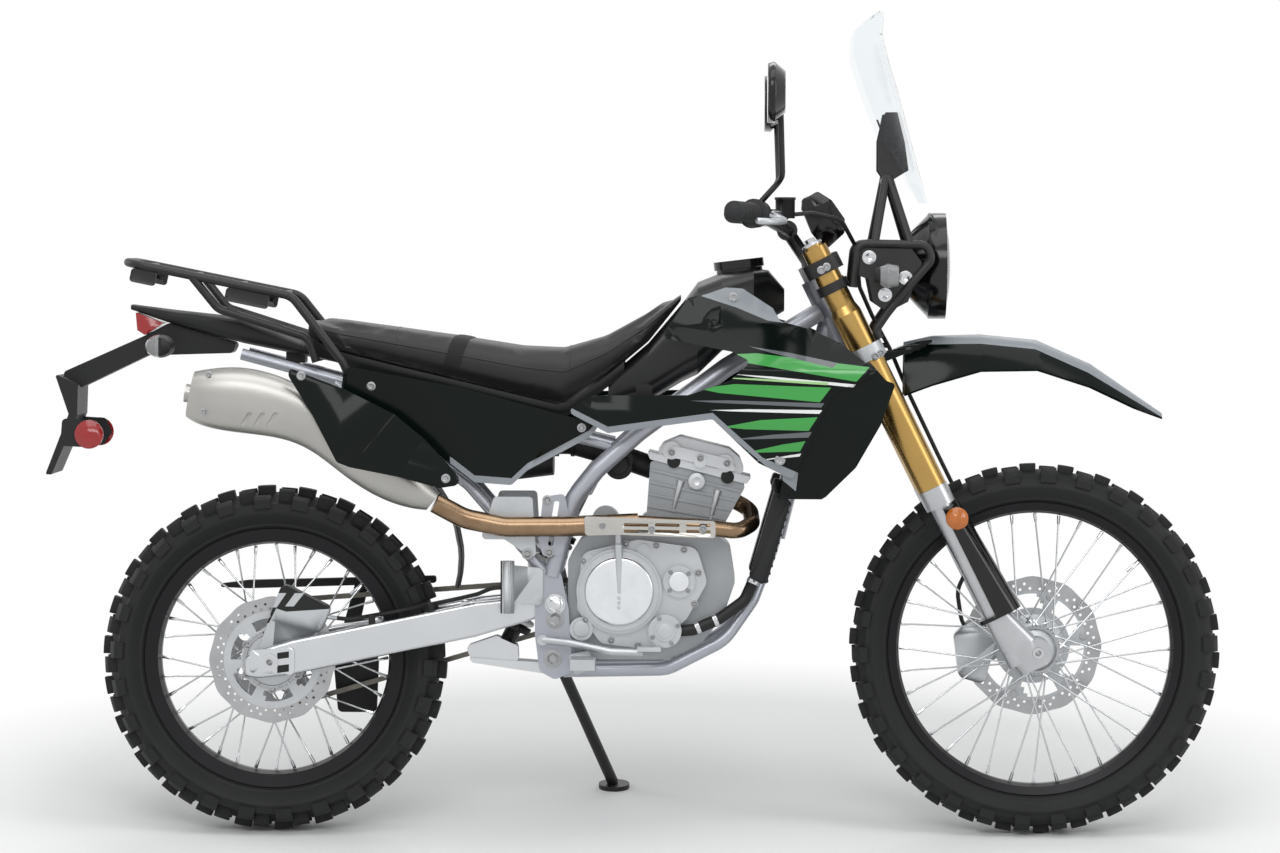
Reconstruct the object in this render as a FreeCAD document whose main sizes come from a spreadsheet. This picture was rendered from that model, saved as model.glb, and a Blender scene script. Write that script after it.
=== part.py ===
import FreeCAD, Part
import math
import os
import Sketcher
from FreeCAD import Placement, Rotation, Vector

# A dual sport motorcycle, parked on its side stand, in millimetres.
# The pieces are laid out upright, X forward from the rear axle, Y to the rider's left,
# Z up from the ground under the tyres, and one placement then leans them all to the left.

doc = FreeCAD.newDocument("dual_sport_motorcycle")
sheet = doc.addObject("Spreadsheet::Sheet", "Sizes")

driving_sizes = [
    ("lean_angle", 10.0),
    ("origin_forward", 683.0),
    ("origin_left", 235.0),
    ("running_gap", 0.3),
    ("crown_radius", 60.0),
    ("front_tyre_radius", 351.0),
    ("front_tyre_half_width", 42.0),
    ("front_tyre_height", 74.0),
    ("front_bead_depth", 10.0),
    ("front_rim_depth", 20.0),
    ("front_lug_height", 11.0),
    ("front_rim_half_width", 25.0),
    ("rear_tyre_radius", 327.5),
    ("rear_tyre_half_width", 58.0),
    ("rear_tyre_height", 82.5),
    ("rear_bead_depth", 16.0),
    ("rear_rim_depth", 29.0),
    ("rear_lug_height", 13.0),
    ("rear_rim_half_width", 33.0),
    ("front_hub_radius", 27.0),
    ("front_flange_radius", 44.0),
    ("front_hub_half_width", 42.0),
    ("rear_hub_radius", 36.0),
    ("rear_flange_radius", 58.0),
    ("rear_hub_half_width", 46.0),
    ("spoke_radius", 1.7),
    ("axle_radius", 10.0),
    ("axle_bore_radius", 6.0),
    ("front_axle_half_length", 128.0),
    ("rear_axle_half_length", 131.0),
    ("front_disc_radius", 132.5),
    ("front_disc_side", 66.0),
    ("rear_disc_radius", 120.0),
    ("rear_disc_side", 68.0),
    ("disc_thickness", 4.0),
    ("caliper_clearance", 5.5),
    ("pivot_x", 535.0),
    ("pivot_z", 438.0),
    ("swingarm_reach", 535.0),
    ("swingarm_depth", 65.0),
    ("pivot_bolt_radius", 10.0),
    ("head_x", 1017.0),
    ("head_z", 1064.0),
    ("rake_angle", 26.5),
    ("axle_offset", 60.0),
    ("fork_offset", 19.0),
    ("fork_spread", 105.0),
    ("fork_upper_radius", 24.5),
    ("fork_lower_radius", 28.5),
    ("stanchion_radius", 21.5),
    ("clamp_gap", 182.0),
    ("clamp_thickness", 28.0),
    ("frame_tube_radius", 17.0),
    ("cradle_tube_radius", 12.5),
    ("subframe_tube_radius", 11.0),
    ("frame_plate_side", 104.0),
    ("frame_plate_thickness", 13.0),
    ("chain_side", 76.0),
    ("chain_pitch", 15.875),
    ("rear_sprocket_teeth", 40.0),
    ("front_sprocket_teeth", 14.0),
    ("front_sprocket_x", 612.0),
    ("front_sprocket_z", 440.0),
    ("chain_half_height", 7.5),
    ("sprocket_thickness", 5.0),
    ("header_pipe_radius", 15.0),
    ("mid_pipe_radius", 19.0),
    ("clutch_cover_radius", 74.0),
    ("headlamp_radius", 100.0),
    ("fuel_cap_radius", 47.5),
    ("handlebar_radius", 11.0),
    ("handlebar_half_width", 400.0),
    ("grip_radius", 17.0),
    ("rack_tube_radius", 8.0),
    ("rack_half_width", 100.0),
    ("screen_thickness", 4.0),
    ("brake_hose_radius", 4.0),
    ("panel_thickness", 8.0),
    ("stand_tube_radius", 11.0),
    ("stand_pivot_side", 139.0),
]

for row, (alias, number) in enumerate(driving_sizes, start=1):
    sheet.set("A%d" % row, alias)
    sheet.set("B%d" % row, str(number))
    sheet.setAlias("B%d" % row, alias)
doc.recompute()


class Dimensions:
    pass


dim = Dimensions()
for alias, number in driving_sizes:
    setattr(dim, alias, float(sheet.get(alias)))

for end in ("front", "rear"):
    rim_radius = getattr(dim, end + "_tyre_radius") - getattr(dim, end + "_tyre_height")
    setattr(dim, end + "_rim_radius", rim_radius)
    setattr(dim, end + "_bead_radius", rim_radius - getattr(dim, end + "_bead_depth"))
    setattr(dim, end + "_rim_inner_radius", rim_radius - getattr(dim, end + "_rim_depth"))

side_axis = Vector(0, 1, 0)
rake = math.radians(dim.rake_angle)
fork_front = Vector(math.cos(rake), 0, math.sin(rake))
fork_up = Vector(-math.sin(rake), 0, math.cos(rake))
head = Vector(dim.head_x, 0, dim.head_z)
pivot = Vector(dim.pivot_x, 0, dim.pivot_z)
rear_axle = Vector(dim.pivot_x - dim.swingarm_reach, 0, dim.rear_tyre_radius)
axle_drop = (dim.head_z + dim.axle_offset * math.sin(rake) - dim.front_tyre_radius) / math.cos(rake)
front_axle = head + fork_front * dim.axle_offset - fork_up * axle_drop
front_sprocket = Vector(dim.front_sprocket_x, 0, dim.front_sprocket_z)

lean = math.radians(dim.lean_angle)
lift = dim.crown_radius * (1 - math.cos(lean))
parked = Placement(Vector(-dim.origin_forward, -dim.origin_left, lift),
                   Rotation(Vector(1, 0, 0), -dim.lean_angle))


def spot(x, z, y=0.0):
    return Vector(x, y, z)


def at_head(x, z, y=0.0):
    return Vector(head.x + x, y, head.z + z)


def on_fork(forward, along, y=0.0):
    return head + fork_front * forward + fork_up * along + Vector(0, y, 0)


def unit(vector):
    return vector * (1.0 / vector.Length)


def rounded_path(points, bend, closed=False):
    # Straight runs joined by tangent arcs of the bend radius, less where a run is short.
    count = len(points)
    corners = range(count) if closed else range(1, count - 1)
    arcs = {}
    for index in corners:
        corner = points[index]
        inward = points[index - 1] - corner
        outward = points[(index + 1) % count] - corner
        half_turn = (math.pi - inward.getAngle(outward)) / 2
        if half_turn < 1e-4 or bend <= 0:
            continue
        reach = min(bend * math.tan(half_turn), 0.45 * inward.Length, 0.45 * outward.Length)
        radius = reach / math.tan(half_turn)
        middle = unit(unit(inward) + unit(outward))
        centre = corner + middle * (reach / math.sin(half_turn))
        arcs[index] = (corner + unit(inward) * reach, centre - middle * radius,
                       corner + unit(outward) * reach)
    edges = []
    stretches = count if closed else count - 1
    for index in range(stretches):
        following = (index + 1) % count
        start = arcs[index][2] if index in arcs else points[index]
        end = arcs[following][0] if following in arcs else points[following]
        edges.append(Part.LineSegment(start, end).toShape())
        if following in arcs and (closed or following < count - 1):
            edges.append(Part.Arc(*arcs[following]).toShape())
    return Part.Wire(edges)


def tube(points, radius, bend=60.0):
    path = rounded_path(points, bend)
    ring_wire = Part.Wire(Part.makeCircle(radius, points[0], points[1] - points[0]))
    return path.makePipeShell([ring_wire], True, False)


def rod(start, end, radius):
    return Part.makeCylinder(radius, (end - start).Length, start, end - start)


def ring(start, end, outer, inner):
    return rod(start, end, outer).cut(rod(start, end, inner))


def cross_rod(centre, y_from, y_to, radius):
    return rod(Vector(centre.x, y_from, centre.z), Vector(centre.x, y_to, centre.z), radius)


def plate(outline, y_from, y_to, corner=6.0):
    points = [Vector(point.x, y_from, point.z) for point in outline]
    face = Part.Face(rounded_path(points, corner, closed=True))
    return face.extrude(Vector(0, y_to - y_from, 0))


def mirrored(shape):
    return shape.mirror(Vector(0, 0, 0), side_axis)


def both_sides(shape):
    return Part.makeCompound([shape, mirrored(shape)])


def joined(shapes):
    result = shapes[0].multiFuse(shapes[1:])
    return result.removeSplitter()


def oval(centre, across, upward, half_across, half_up, squareness=2.0):
    # A closed smooth section: an ellipse at 2, with fuller corners as the squareness grows.
    points = []
    steps = 16
    for step in range(steps):
        angle = 2 * math.pi * step / steps
        side = math.copysign(abs(math.cos(angle)) ** (2 / squareness), math.cos(angle))
        rise = math.copysign(abs(math.sin(angle)) ** (2 / squareness), math.sin(angle))
        points.append(centre + across * (half_across * side) + upward * (half_up * rise))
    curve = Part.BSplineCurve()
    curve.interpolate(Points=points, PeriodicFlag=True)
    return Part.Wire(curve.toShape())


def body_loft(stations, squareness=2.8, ruled=False):
    # stations: lowest point, highest point and half width of each section across the bike
    wires = []
    for low, high, half_width in stations:
        centre = (low + high) * 0.5
        rise = high - low
        wires.append(oval(centre, side_axis, unit(rise), half_width, rise.Length / 2, squareness))
    return Part.makeLoft(wires, True, ruled)


def arch_shell(stations, thickness):
    # stations: crown point, drop of the edges, half width; an open gutter turned over
    wires = []
    for crown, drop, half_width in stations:
        outer = []
        inner = []
        for share in (-1.0, -0.85, -0.5, 0.0, 0.5, 0.85, 1.0):
            fall = drop * abs(share) ** 2.4
            outer.append(crown + Vector(0, half_width * share, -fall))
            inner.append(crown + Vector(0, (half_width - thickness) * share, -fall - thickness))
        outer_curve = Part.BSplineCurve()
        outer_curve.interpolate(outer)
        inner_curve = Part.BSplineCurve()
        inner_curve.interpolate(inner)
        wires.append(Part.Wire([outer_curve.toShape(),
                                Part.LineSegment(outer[-1], inner[-1]).toShape(),
                                inner_curve.toShape(),
                                Part.LineSegment(inner[0], outer[0]).toShape()]))
    return Part.makeLoft(wires, True, True)


subparts = []
laid_out = {}


def seated(shape, *names):
    # Trimmed where it would enter the named pieces, so that it bears face to face on them.
    return shape.cut([laid_out[name] for name in names])


def keep(name, shape):
    laid_out[name] = shape
    feature = doc.addObject("Part::Feature", name)
    feature.Label = name
    feature.Shape = shape
    feature.Placement = parked.multiply(feature.Placement)
    subparts.append(feature)
    return feature


def keep_body(body, local):
    body.Placement = parked.multiply(local)
    subparts.append(body)
    return body


def origin_plane(body, role):
    return [item for item in body.Origin.OriginFeatures if item.Role == role][0]


def sketch_on(body, role, name):
    sketch = body.newObject("Sketcher::SketchObject", name)
    sketch.AttachmentSupport = [(origin_plane(body, role), "")]
    sketch.MapMode = "FlatFace"
    return sketch


def bind_point(sketch, edge, end, across, upward):
    index = sketch.addConstraint(Sketcher.Constraint("DistanceX", -1, 1, edge, end, 1.0))
    sketch.setExpression("Constraints[%d]" % index, across)
    index = sketch.addConstraint(Sketcher.Constraint("DistanceY", -1, 1, edge, end, 1.0))
    sketch.setExpression("Constraints[%d]" % index, upward)


def draw_outline(sketch, corners):
    # corners: pairs of expressions on the sheet
    first = sketch.GeometryCount
    count = len(corners)
    turn = 2 * math.pi / count
    start = [Vector(10 * math.cos(turn * i), 10 * math.sin(turn * i), 0) for i in range(count)]
    for index in range(count):
        sketch.addGeometry(Part.LineSegment(start[index], start[(index + 1) % count]))
    for index in range(count):
        following = first + (index + 1) % count
        sketch.addConstraint(Sketcher.Constraint("Coincident", first + index, 2, following, 1))
    for index, (across, upward) in enumerate(corners):
        bind_point(sketch, first + index, 1, across, upward)


def draw_circle(sketch, across, upward, radius):
    edge = sketch.addGeometry(Part.Circle(Vector(1, 1, 0), Vector(0, 0, 1), 5))
    bind_point(sketch, edge, 3, across, upward)
    index = sketch.addConstraint(Sketcher.Constraint("Radius", edge, 5.0))
    sketch.setExpression("Constraints[%d]" % index, radius)


def spun_body(name, corners):
    # A section in radius and width, turned about the axle, which is the body's own Y.
    body = doc.addObject("PartDesign::Body", name)
    body.Label = name
    sketch = sketch_on(body, "XY_Plane", name + "_section")
    draw_outline(sketch, corners)
    turn = body.newObject("PartDesign::Revolution", name + "_turned")
    turn.Profile = sketch
    turn.ReferenceAxis = (sketch, ["V_Axis"])
    turn.Angle = 360
    return body


def repeat_around(body, feature, count, name):
    pattern = body.newObject("PartDesign::PolarPattern", name)
    pattern.Originals = [feature]
    pattern.Axis = (origin_axis(body, "Y_Axis"), [""])
    pattern.Angle = 360
    pattern.Occurrences = count
    body.Tip = pattern
    return pattern


def origin_axis(body, role):
    return [item for item in body.Origin.OriginFeatures if item.Role == role][0]


def at_axle(axle):
    return Placement(axle, Rotation())


# Wheels


def sewn(faces):
    skin_shell = Part.makeCompound(faces)
    skin_shell.sewShape()
    solid = Part.makeSolid(skin_shell.Shells[0])
    if solid.Volume < 0:
        solid.reverse()
    return solid


def sector(section, start, end):
    # A closed section in radius and width, swept in one flat step from one angle to another.
    rings = []
    for angle in (start, end):
        rings.append([Vector(radius * math.cos(angle), width, radius * math.sin(angle)) for radius, width in section])
    faces = [Part.Face(Part.makePolygon(points + [points[0]])) for points in rings]
    count = len(section)
    for index in range(count):
        following = (index + 1) % count
        quad = [rings[0][index], rings[0][following], rings[1][following], rings[1][index]]
        faces.append(Part.Face(Part.makePolygon(quad + [quad[0]])))
    return sewn(faces)


def on_crown(top, angle, depth=0.0):
    turn = math.radians(angle)
    reach = dim.crown_radius - depth
    return top - dim.crown_radius + reach * math.cos(turn), reach * math.sin(turn)


def mirrored_section(section):
    return [(radius, -width) for radius, width in reversed(section)]


def tyre(name, axle, pitches, carcass_side, lugs):
    # A knobbly tyre: one pitch of carcass and lugs, repeated round the axle and sewn up.
    # A corner of a centre lug lies straight down, where the parked tyre meets the floor.
    carcass = carcass_side + mirrored_section(carcass_side[:-1])
    pitch = 2 * math.pi / pitches
    blocks = []
    for section, start, stop in lugs:
        blocks.append(sector(section, start * pitch, stop * pitch))
    piece = sector(carcass, 0.0, pitch).multiFuse(blocks)
    outside = []
    for face in piece.Faces:
        angles = [math.atan2(vertex.Point.z, vertex.Point.x) for vertex in face.Vertexes]
        if max(angles) > 1e-6 and min(angles) < pitch - 1e-6:
            outside.append(face)
    low_corner = lugs[0][1] * pitch
    faces = []
    for index in range(pitches):
        turn = Rotation(side_axis, 90 + math.degrees(low_corner - index * pitch))
        for face in outside:
            copy = face.copy()
            copy.Placement = Placement(axle, turn).multiply(copy.Placement)
            faces.append(copy)
    keep(name, sewn(faces))


def rim(name, end, axle):
    size = "Sizes.%s_" % end
    outer = "(%styre_radius - %styre_height)" % (size, size)
    seat = "(%s - %sbead_depth)" % (outer, size)
    inner = "(%s - %srim_depth)" % (outer, size)
    half = size + "rim_half_width"
    section = [
        (inner, "-9"),
        (inner + " + 5", "-(%s - 5)" % half),
        (outer, "-%s" % half),
        (outer, "-(%s - 3)" % half),
        (seat, "-(%s - 4.5)" % half),
    ]
    upper = [(across, upward[1:]) for across, upward in reversed(section)]
    body = spun_body(name, section + upper)
    keep_body(body, at_axle(axle))


def hub(name, end, axle, section_tail):
    size = "Sizes.%s_" % end
    barrel = size + "hub_radius"
    flange = size + "flange_radius"
    half = size + "hub_half_width"
    bore = "Sizes.axle_radius + Sizes.running_gap"
    section = [
        (bore, "-(%s + 6)" % half),
        (barrel, "-(%s + 6)" % half),
        (flange, "-%s" % half),
        (flange, "-(%s - 5)" % half),
        (barrel, "-(%s - 14)" % half),
        (barrel, "%s - 14" % half),
        (flange, "%s - 5" % half),
        (flange, half),
    ] + section_tail + [(bore, section_tail[-1][1])]
    body = spun_body(name, section)
    keep_body(body, at_axle(axle))


def spokes(name, axle, hub_half, flange_radius, rim_radius, count):
    # Tangential spokes in crossing pairs; each ends just inside the flange and the rim.
    rods = []
    reach = 0.62
    for index in range(count):
        side = 1 if index % 2 else -1
        trailing = 1 if (index // 2) % 2 else -1
        rim_angle = 2 * math.pi * index / count
        hub_angle = rim_angle + trailing * reach
        layer = side * (hub_half - 2.5 - 2.0 * trailing)
        start = axle + Vector((flange_radius + 1.7) * math.cos(hub_angle), layer,
                              (flange_radius + 1.7) * math.sin(hub_angle))
        end = axle + Vector((rim_radius - 1.2) * math.cos(rim_angle), side * (5.0 - 2.0 * trailing),
                            (rim_radius - 1.2) * math.sin(rim_angle))
        rods.append(rod(start, end, dim.spoke_radius))
    keep(name, Part.makeCompound(rods))


def brake_disc(name, end, axle, side):
    # A petal disc: scallops round the edge and slots through the braking face.
    body = doc.addObject("PartDesign::Body", name)
    body.Label = name
    radius = "Sizes.%s_disc_radius" % end
    face = sketch_on(body, "XZ_Plane", name + "_face")
    draw_circle(face, "0", "0", radius)
    draw_circle(face, "0", "0", radius + " - 72")
    pad = body.newObject("PartDesign::Pad", name + "_pad")
    pad.Profile = face
    pad.setExpression("Length", "Sizes.disc_thickness")
    doc.recompute()
    scallop = sketch_on(body, "XZ_Plane", name + "_scallop")
    draw_circle(scallop, radius + " + 14", "0", "18")
    cut = body.newObject("PartDesign::Pocket", name + "_scallop_cut")
    cut.Profile = scallop
    cut.Type = 1
    cut.Midplane = True
    repeat_around(body, cut, 12, name + "_scallops")
    doc.recompute()
    window = sketch_on(body, "XZ_Plane", name + "_window")
    draw_circle(window, radius + " - 46", "0", "13")
    opening = body.newObject("PartDesign::Pocket", name + "_window_cut")
    opening.Profile = window
    opening.Type = 1
    opening.Midplane = True
    repeat_around(body, opening, 6, name + "_windows")
    keep_body(body, Placement(axle + Vector(0, side, 0), Rotation()))


def front_tyre():
    top = dim.front_tyre_radius
    half = dim.front_tyre_half_width
    flange = dim.front_rim_radius
    bead = dim.front_rim_half_width
    depth = dim.front_lug_height
    contact = dim.lean_angle
    pitches = 30
    corner = 1 / math.cos(math.pi / pitches)
    side = [((dim.front_bead_radius + dim.running_gap) * corner, bead - 5), ((flange + 1) * corner, bead - 3.5),
            ((flange + 5) * corner, bead + 4), ((flange + top) / 2 - 6, half - 1.5), (top - 30, half - 3.5), on_crown(top, 40, depth), (top - depth, 0.0)]
    centre = [on_crown(top, -contact), on_crown(top, contact), (top - depth - 9, 9.5), (top - depth - 9, -9.5)]
    shoulder = [on_crown(top, 24), on_crown(top, 40), (top - 20, half), (top - 34, half), (top - 38, half - 5),
                (top - depth - 13, dim.crown_radius * math.sin(math.radians(24)))]
    tyre("front_tyre", front_axle, pitches, side, [
        (centre, 0.06, 0.47), (shoulder, 0.52, 0.94), (mirrored_section(shoulder), 0.52, 0.94),
    ])


front_tyre()
rim("front_rim", "front", front_axle)
hub("front_hub", "front", front_axle, [
    ("Sizes.front_hub_radius + 6", "Sizes.front_hub_half_width + 6"),
    ("Sizes.front_disc_radius - 72 - Sizes.running_gap", "Sizes.front_disc_side - 6"),
    ("Sizes.front_disc_radius - 72 - Sizes.running_gap", "Sizes.front_disc_side + 2"),
    ("Sizes.front_hub_radius", "Sizes.front_disc_side + 5"),
])
spokes("front_spokes", front_axle, dim.front_hub_half_width, dim.front_flange_radius,
       dim.front_rim_inner_radius, 36)
brake_disc("front_disc", "front", front_axle, dim.front_disc_side)

def rear_tyre():
    top = dim.rear_tyre_radius
    half = dim.rear_tyre_half_width
    flange = dim.rear_rim_radius
    bead = dim.rear_rim_half_width
    depth = dim.rear_lug_height
    contact = dim.lean_angle
    pitches = 26
    corner = 1 / math.cos(math.pi / pitches)
    side = [((dim.rear_bead_radius + dim.running_gap) * corner, bead - 5), ((flange + 1) * corner, bead - 3.5),
            ((flange + 5) * corner, bead + 4), ((flange + top) / 2 - 8, half - 1.5), (top - 34, half - 4), on_crown(top, 50, depth), (top - depth, 0.0)]
    centre = [on_crown(top, -contact - 4), on_crown(top, -contact), on_crown(top, contact),
              on_crown(top, contact + 4), (top - depth - 11, 14.0), (top - depth - 11, -14.0)]
    inner_side = dim.crown_radius * math.sin(math.radians(24))
    outer_side = dim.crown_radius * math.sin(math.radians(38))
    middle = [on_crown(top, 24), on_crown(top, 38), (top - depth - 21, outer_side), (top - depth - 15, inner_side)]
    edge_side = dim.crown_radius * math.sin(math.radians(44))
    shoulder = [on_crown(top, 44), (top - 26, half - 1), (top - 42, half), (top - 46, half - 6),
                (top - depth - 23, edge_side)]
    tyre("rear_tyre", rear_axle, pitches, side, [
        (centre, 0.05, 0.47), (middle, 0.53, 0.93), (mirrored_section(middle), 0.53, 0.93),
        (shoulder, 0.12, 0.55), (mirrored_section(shoulder), 0.12, 0.55),
    ])


rear_tyre()
rim("rear_rim", "rear", rear_axle)


def rear_hub():
    bore = "Sizes.axle_radius + Sizes.running_gap"
    half = "Sizes.rear_hub_half_width"
    disc_inner = "Sizes.rear_disc_radius - 72 - Sizes.running_gap"
    section = [
        (bore, "-(Sizes.rear_disc_side + 4)"),
        (disc_inner, "-(Sizes.rear_disc_side + 3)"),
        (disc_inner, "-(Sizes.rear_disc_side - 7)"),
        ("Sizes.rear_hub_radius", "-(%s + 2)" % half),
        ("Sizes.rear_flange_radius", "-%s" % half),
        ("Sizes.rear_flange_radius", "-(%s - 5)" % half),
        ("Sizes.rear_hub_radius", "-(%s - 16)" % half),
        ("Sizes.rear_hub_radius", "%s - 16" % half),
        ("Sizes.rear_flange_radius", "%s - 5" % half),
        ("Sizes.rear_flange_radius", half),
        ("Sizes.rear_hub_radius + 10", "%s + 3" % half),
        ("Sizes.rear_flange_radius", "Sizes.chain_side - 12"),
        ("Sizes.rear_flange_radius", "Sizes.chain_side - Sizes.sprocket_thickness / 2 - Sizes.running_gap"),
        (bore, "Sizes.chain_side - Sizes.sprocket_thickness / 2 - Sizes.running_gap"),
    ]
    keep_body(spun_body("rear_hub", section), at_axle(rear_axle))


rear_hub()
spokes("rear_spokes", rear_axle, dim.rear_hub_half_width, dim.rear_flange_radius,
       dim.rear_rim_inner_radius, 36)
brake_disc("rear_disc", "rear", rear_axle, -dim.rear_disc_side + dim.disc_thickness)


def pitch_radius(teeth):
    return dim.chain_pitch / (2 * math.sin(math.pi / teeth))


rear_pitch = pitch_radius(dim.rear_sprocket_teeth)
front_pitch = pitch_radius(dim.front_sprocket_teeth)


def sprocket_shape(centre, teeth, bore, thickness):
    radius = pitch_radius(teeth)
    count = int(teeth)
    blank = ring(Vector(centre.x, dim.chain_side - thickness / 2, centre.z),
                 Vector(centre.x, dim.chain_side + thickness / 2, centre.z), radius + 4.5, bore)
    gaps = []
    for index in range(count):
        angle = 2 * math.pi * index / count
        seat = centre + Vector(radius * math.cos(angle), 0, radius * math.sin(angle))
        gaps.append(cross_rod(seat, dim.chain_side - thickness, dim.chain_side + thickness, 5.2))
    return blank.cut(Part.makeCompound(gaps))


def sprockets():
    rear = sprocket_shape(rear_axle, dim.rear_sprocket_teeth, 40.0, dim.sprocket_thickness)
    windows = []
    for index in range(6):
        angle = math.pi * (index + 0.5) / 3
        spoke = rear_axle + Vector(75 * math.cos(angle), 0, 75 * math.sin(angle))
        windows.append(cross_rod(spoke, dim.chain_side - 10, dim.chain_side + 10, 13.0))
    keep("rear_sprocket", rear.cut(Part.makeCompound(windows)))
    front = sprocket_shape(front_sprocket, dim.front_sprocket_teeth, 12.0, dim.sprocket_thickness)
    shaft = cross_rod(front_sprocket, 60.0 + dim.running_gap, dim.chain_side + 7, 12.0)
    keep("front_sprocket", joined([front, shaft]))


sprockets()


def chain_loop(offset, y_from, y_to):
    # The loop that lies an offset outside the pitch line, one flat to each link on the sprockets.
    big = rear_pitch + offset
    small = front_pitch + offset
    span = front_sprocket - rear_axle
    distance = span.Length
    direction = unit(span)
    across = Vector(-direction.z, 0, direction.x)
    reach = math.acos((big - small) / distance)
    corners = []
    for centre, radius, pitch_line, begin, finish in (
            (rear_axle, big, rear_pitch, reach, 2 * math.pi - reach),
            (front_sprocket, small, front_pitch, -reach, reach)):
        steps = int(round((finish - begin) * pitch_line / dim.chain_pitch))
        for step in range(steps + 1):
            angle = begin + (finish - begin) * step / steps
            corners.append(centre + (direction * math.cos(angle) + across * math.sin(angle)) * radius
                           + Vector(0, y_from, 0))
    outline = Part.makePolygon(corners + [corners[0]])
    return Part.Face(outline).extrude(Vector(0, y_to - y_from, 0))


def drive_chain():
    inner_side = dim.sprocket_thickness / 2 + 0.8
    outer_side = inner_side + 5.0
    bands = []
    for low, high in ((inner_side, outer_side), (-outer_side, -inner_side)):
        outer = chain_loop(dim.chain_half_height, dim.chain_side + low, dim.chain_side + high)
        inner = chain_loop(-dim.chain_half_height, dim.chain_side + low - 1, dim.chain_side + high + 1)
        bands.append(outer.cut(inner))
    keep("drive_chain", Part.makeCompound(bands))


drive_chain()


def hollow_axle(name, centre, half_length_alias):
    shaft = doc.addObject("Part::Cylinder", name + "_shaft")
    shaft.setExpression("Radius", "Sizes.axle_radius")
    shaft.setExpression("Height", "Sizes.%s * 2" % half_length_alias)
    bore = doc.addObject("Part::Cylinder", name + "_bore")
    bore.setExpression("Radius", "Sizes.axle_bore_radius")
    bore.setExpression("Height", "Sizes.%s * 2" % half_length_alias)
    axle = doc.addObject("Part::Cut", name)
    axle.Base = shaft
    axle.Tool = bore
    axle.Label = name
    half = getattr(dim, half_length_alias)
    along = Placement(centre + Vector(0, -half, 0), Rotation(Vector(1, 0, 0), -90))
    keep_body(axle, along)


hollow_axle("rear_axle", rear_axle, "rear_axle_half_length")
hollow_axle("front_axle", front_axle, "front_axle_half_length")


# Frame and rear suspension

# The stand swings about an axis that takes its leg from the floor to lie along the swingarm.
stand_top = spot(528, 322, dim.stand_pivot_side)
stand_foot = spot(640, 51, 292)
stand_folded = unit(Vector(-0.988, 0.13, 0.08))
stand_turn = unit(unit(stand_foot - stand_top) - stand_folded)
stand_axis = unit(side_axis - stand_turn * stand_turn.y)


def spar_path(side):
    return [
        on_fork(-24, -75, 30 * side),
        spot(dim.head_x - 164, dim.head_z - 184, 74 * side),
        spot(690, 760, 98 * side),
        spot(612, 690, 102 * side),
        spot(566, 632, 102 * side),
        spot(528, 490, 106 * side),
    ]


def frame():
    pieces = []
    bearing_gap = dim.clamp_thickness / 2 + dim.running_gap
    head_low = on_fork(0, -dim.clamp_gap + bearing_gap)
    head_high = on_fork(0, -bearing_gap)
    pieces.append(rod(head_low, head_high, 31.0))
    for side in (1, -1):
        spar = tube(spar_path(side), dim.frame_tube_radius, 90)
        pieces.append(spar)
        cradle = tube([
            spot(962, 618, 8 * side),
            spot(940, 535, 24 * side),
            spot(905, 445, 68 * side),
            spot(852, 371, 99 * side),
            spot(745, 316, 99 * side),
            spot(550, 312, 99 * side),
        ], dim.cradle_tube_radius, 70)
        pieces.append(cradle)
        low = min(dim.frame_plate_side * side, (dim.frame_plate_side + dim.frame_plate_thickness) * side)
        gusset = plate([
            spot(496, 505), spot(545, 500), spot(560, 430), spot(568, 312),
            spot(535, 296), spot(506, 312), spot(497, 380),
        ], low, low + dim.frame_plate_thickness, 14)
        hole = cross_rod(pivot, -200, 200, dim.pivot_bolt_radius + dim.running_gap)
        pieces.append(gusset.cut(hole))
        rail = tube([
            spot(640, 735, 96 * side), spot(560, 755, 84 * side), spot(350, 795, 76 * side),
            spot(40, 878, 74 * side), spot(-58, 904, 70 * side),
        ], dim.subframe_tube_radius, 60)
        pieces.append(rail)
        stay = tube([
            spot(512, 500, 105 * side), spot(372, 660, 94 * side), spot(118, 850, 76 * side),
        ], dim.subframe_tube_radius, 60)
        pieces.append(stay)
    down_tube = tube([on_fork(-12, -95), on_fork(-84, -178), spot(971, 653), spot(948, 560)], 19.0, 60)
    pieces.append(down_tube)
    for x, z, half, radius in ((40, 878, 74, 9), (350, 795, 76, 11), (745, 316, 99, 11), (612, 685, 100, 9),
                            (945, 600, 69.7, 7)):
        pieces.append(cross_rod(spot(x, z), -half, half, radius))
    for y in (15.3, -21.3):
        pieces.append(plate([spot(570, 642), spot(600, 638), spot(624, 684), spot(602, 695)], y, y + 6, 6))
    bracket = plate([spot(503, 560), spot(512, 640), spot(552, 646), spot(562, 600), spot(548, 532), spot(512, 528)],
                    -125.5, -119.0, 8)
    for low_x, low_z in ((521, 548), (528, 600)):
        slot = plate([spot(low_x, low_z), spot(low_x + 10, low_z), spot(low_x + 15, low_z + 32),
                      spot(low_x + 5, low_z + 32)], -130, -115, 4)
        bracket = bracket.cut(slot)
    pieces.append(bracket)
    pieces.append(rod(stand_top - stand_axis * 30, stand_top - stand_axis * 8.3, 16.0))
    pieces.append(rod(stand_top - stand_axis * 10, stand_top + stand_axis * 11, 7.0))
    whole = joined(pieces).cut(rod(head_low - fork_up * 5, head_high + fork_up * 5, 18.0))
    keep("frame", whole)


frame()


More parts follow.
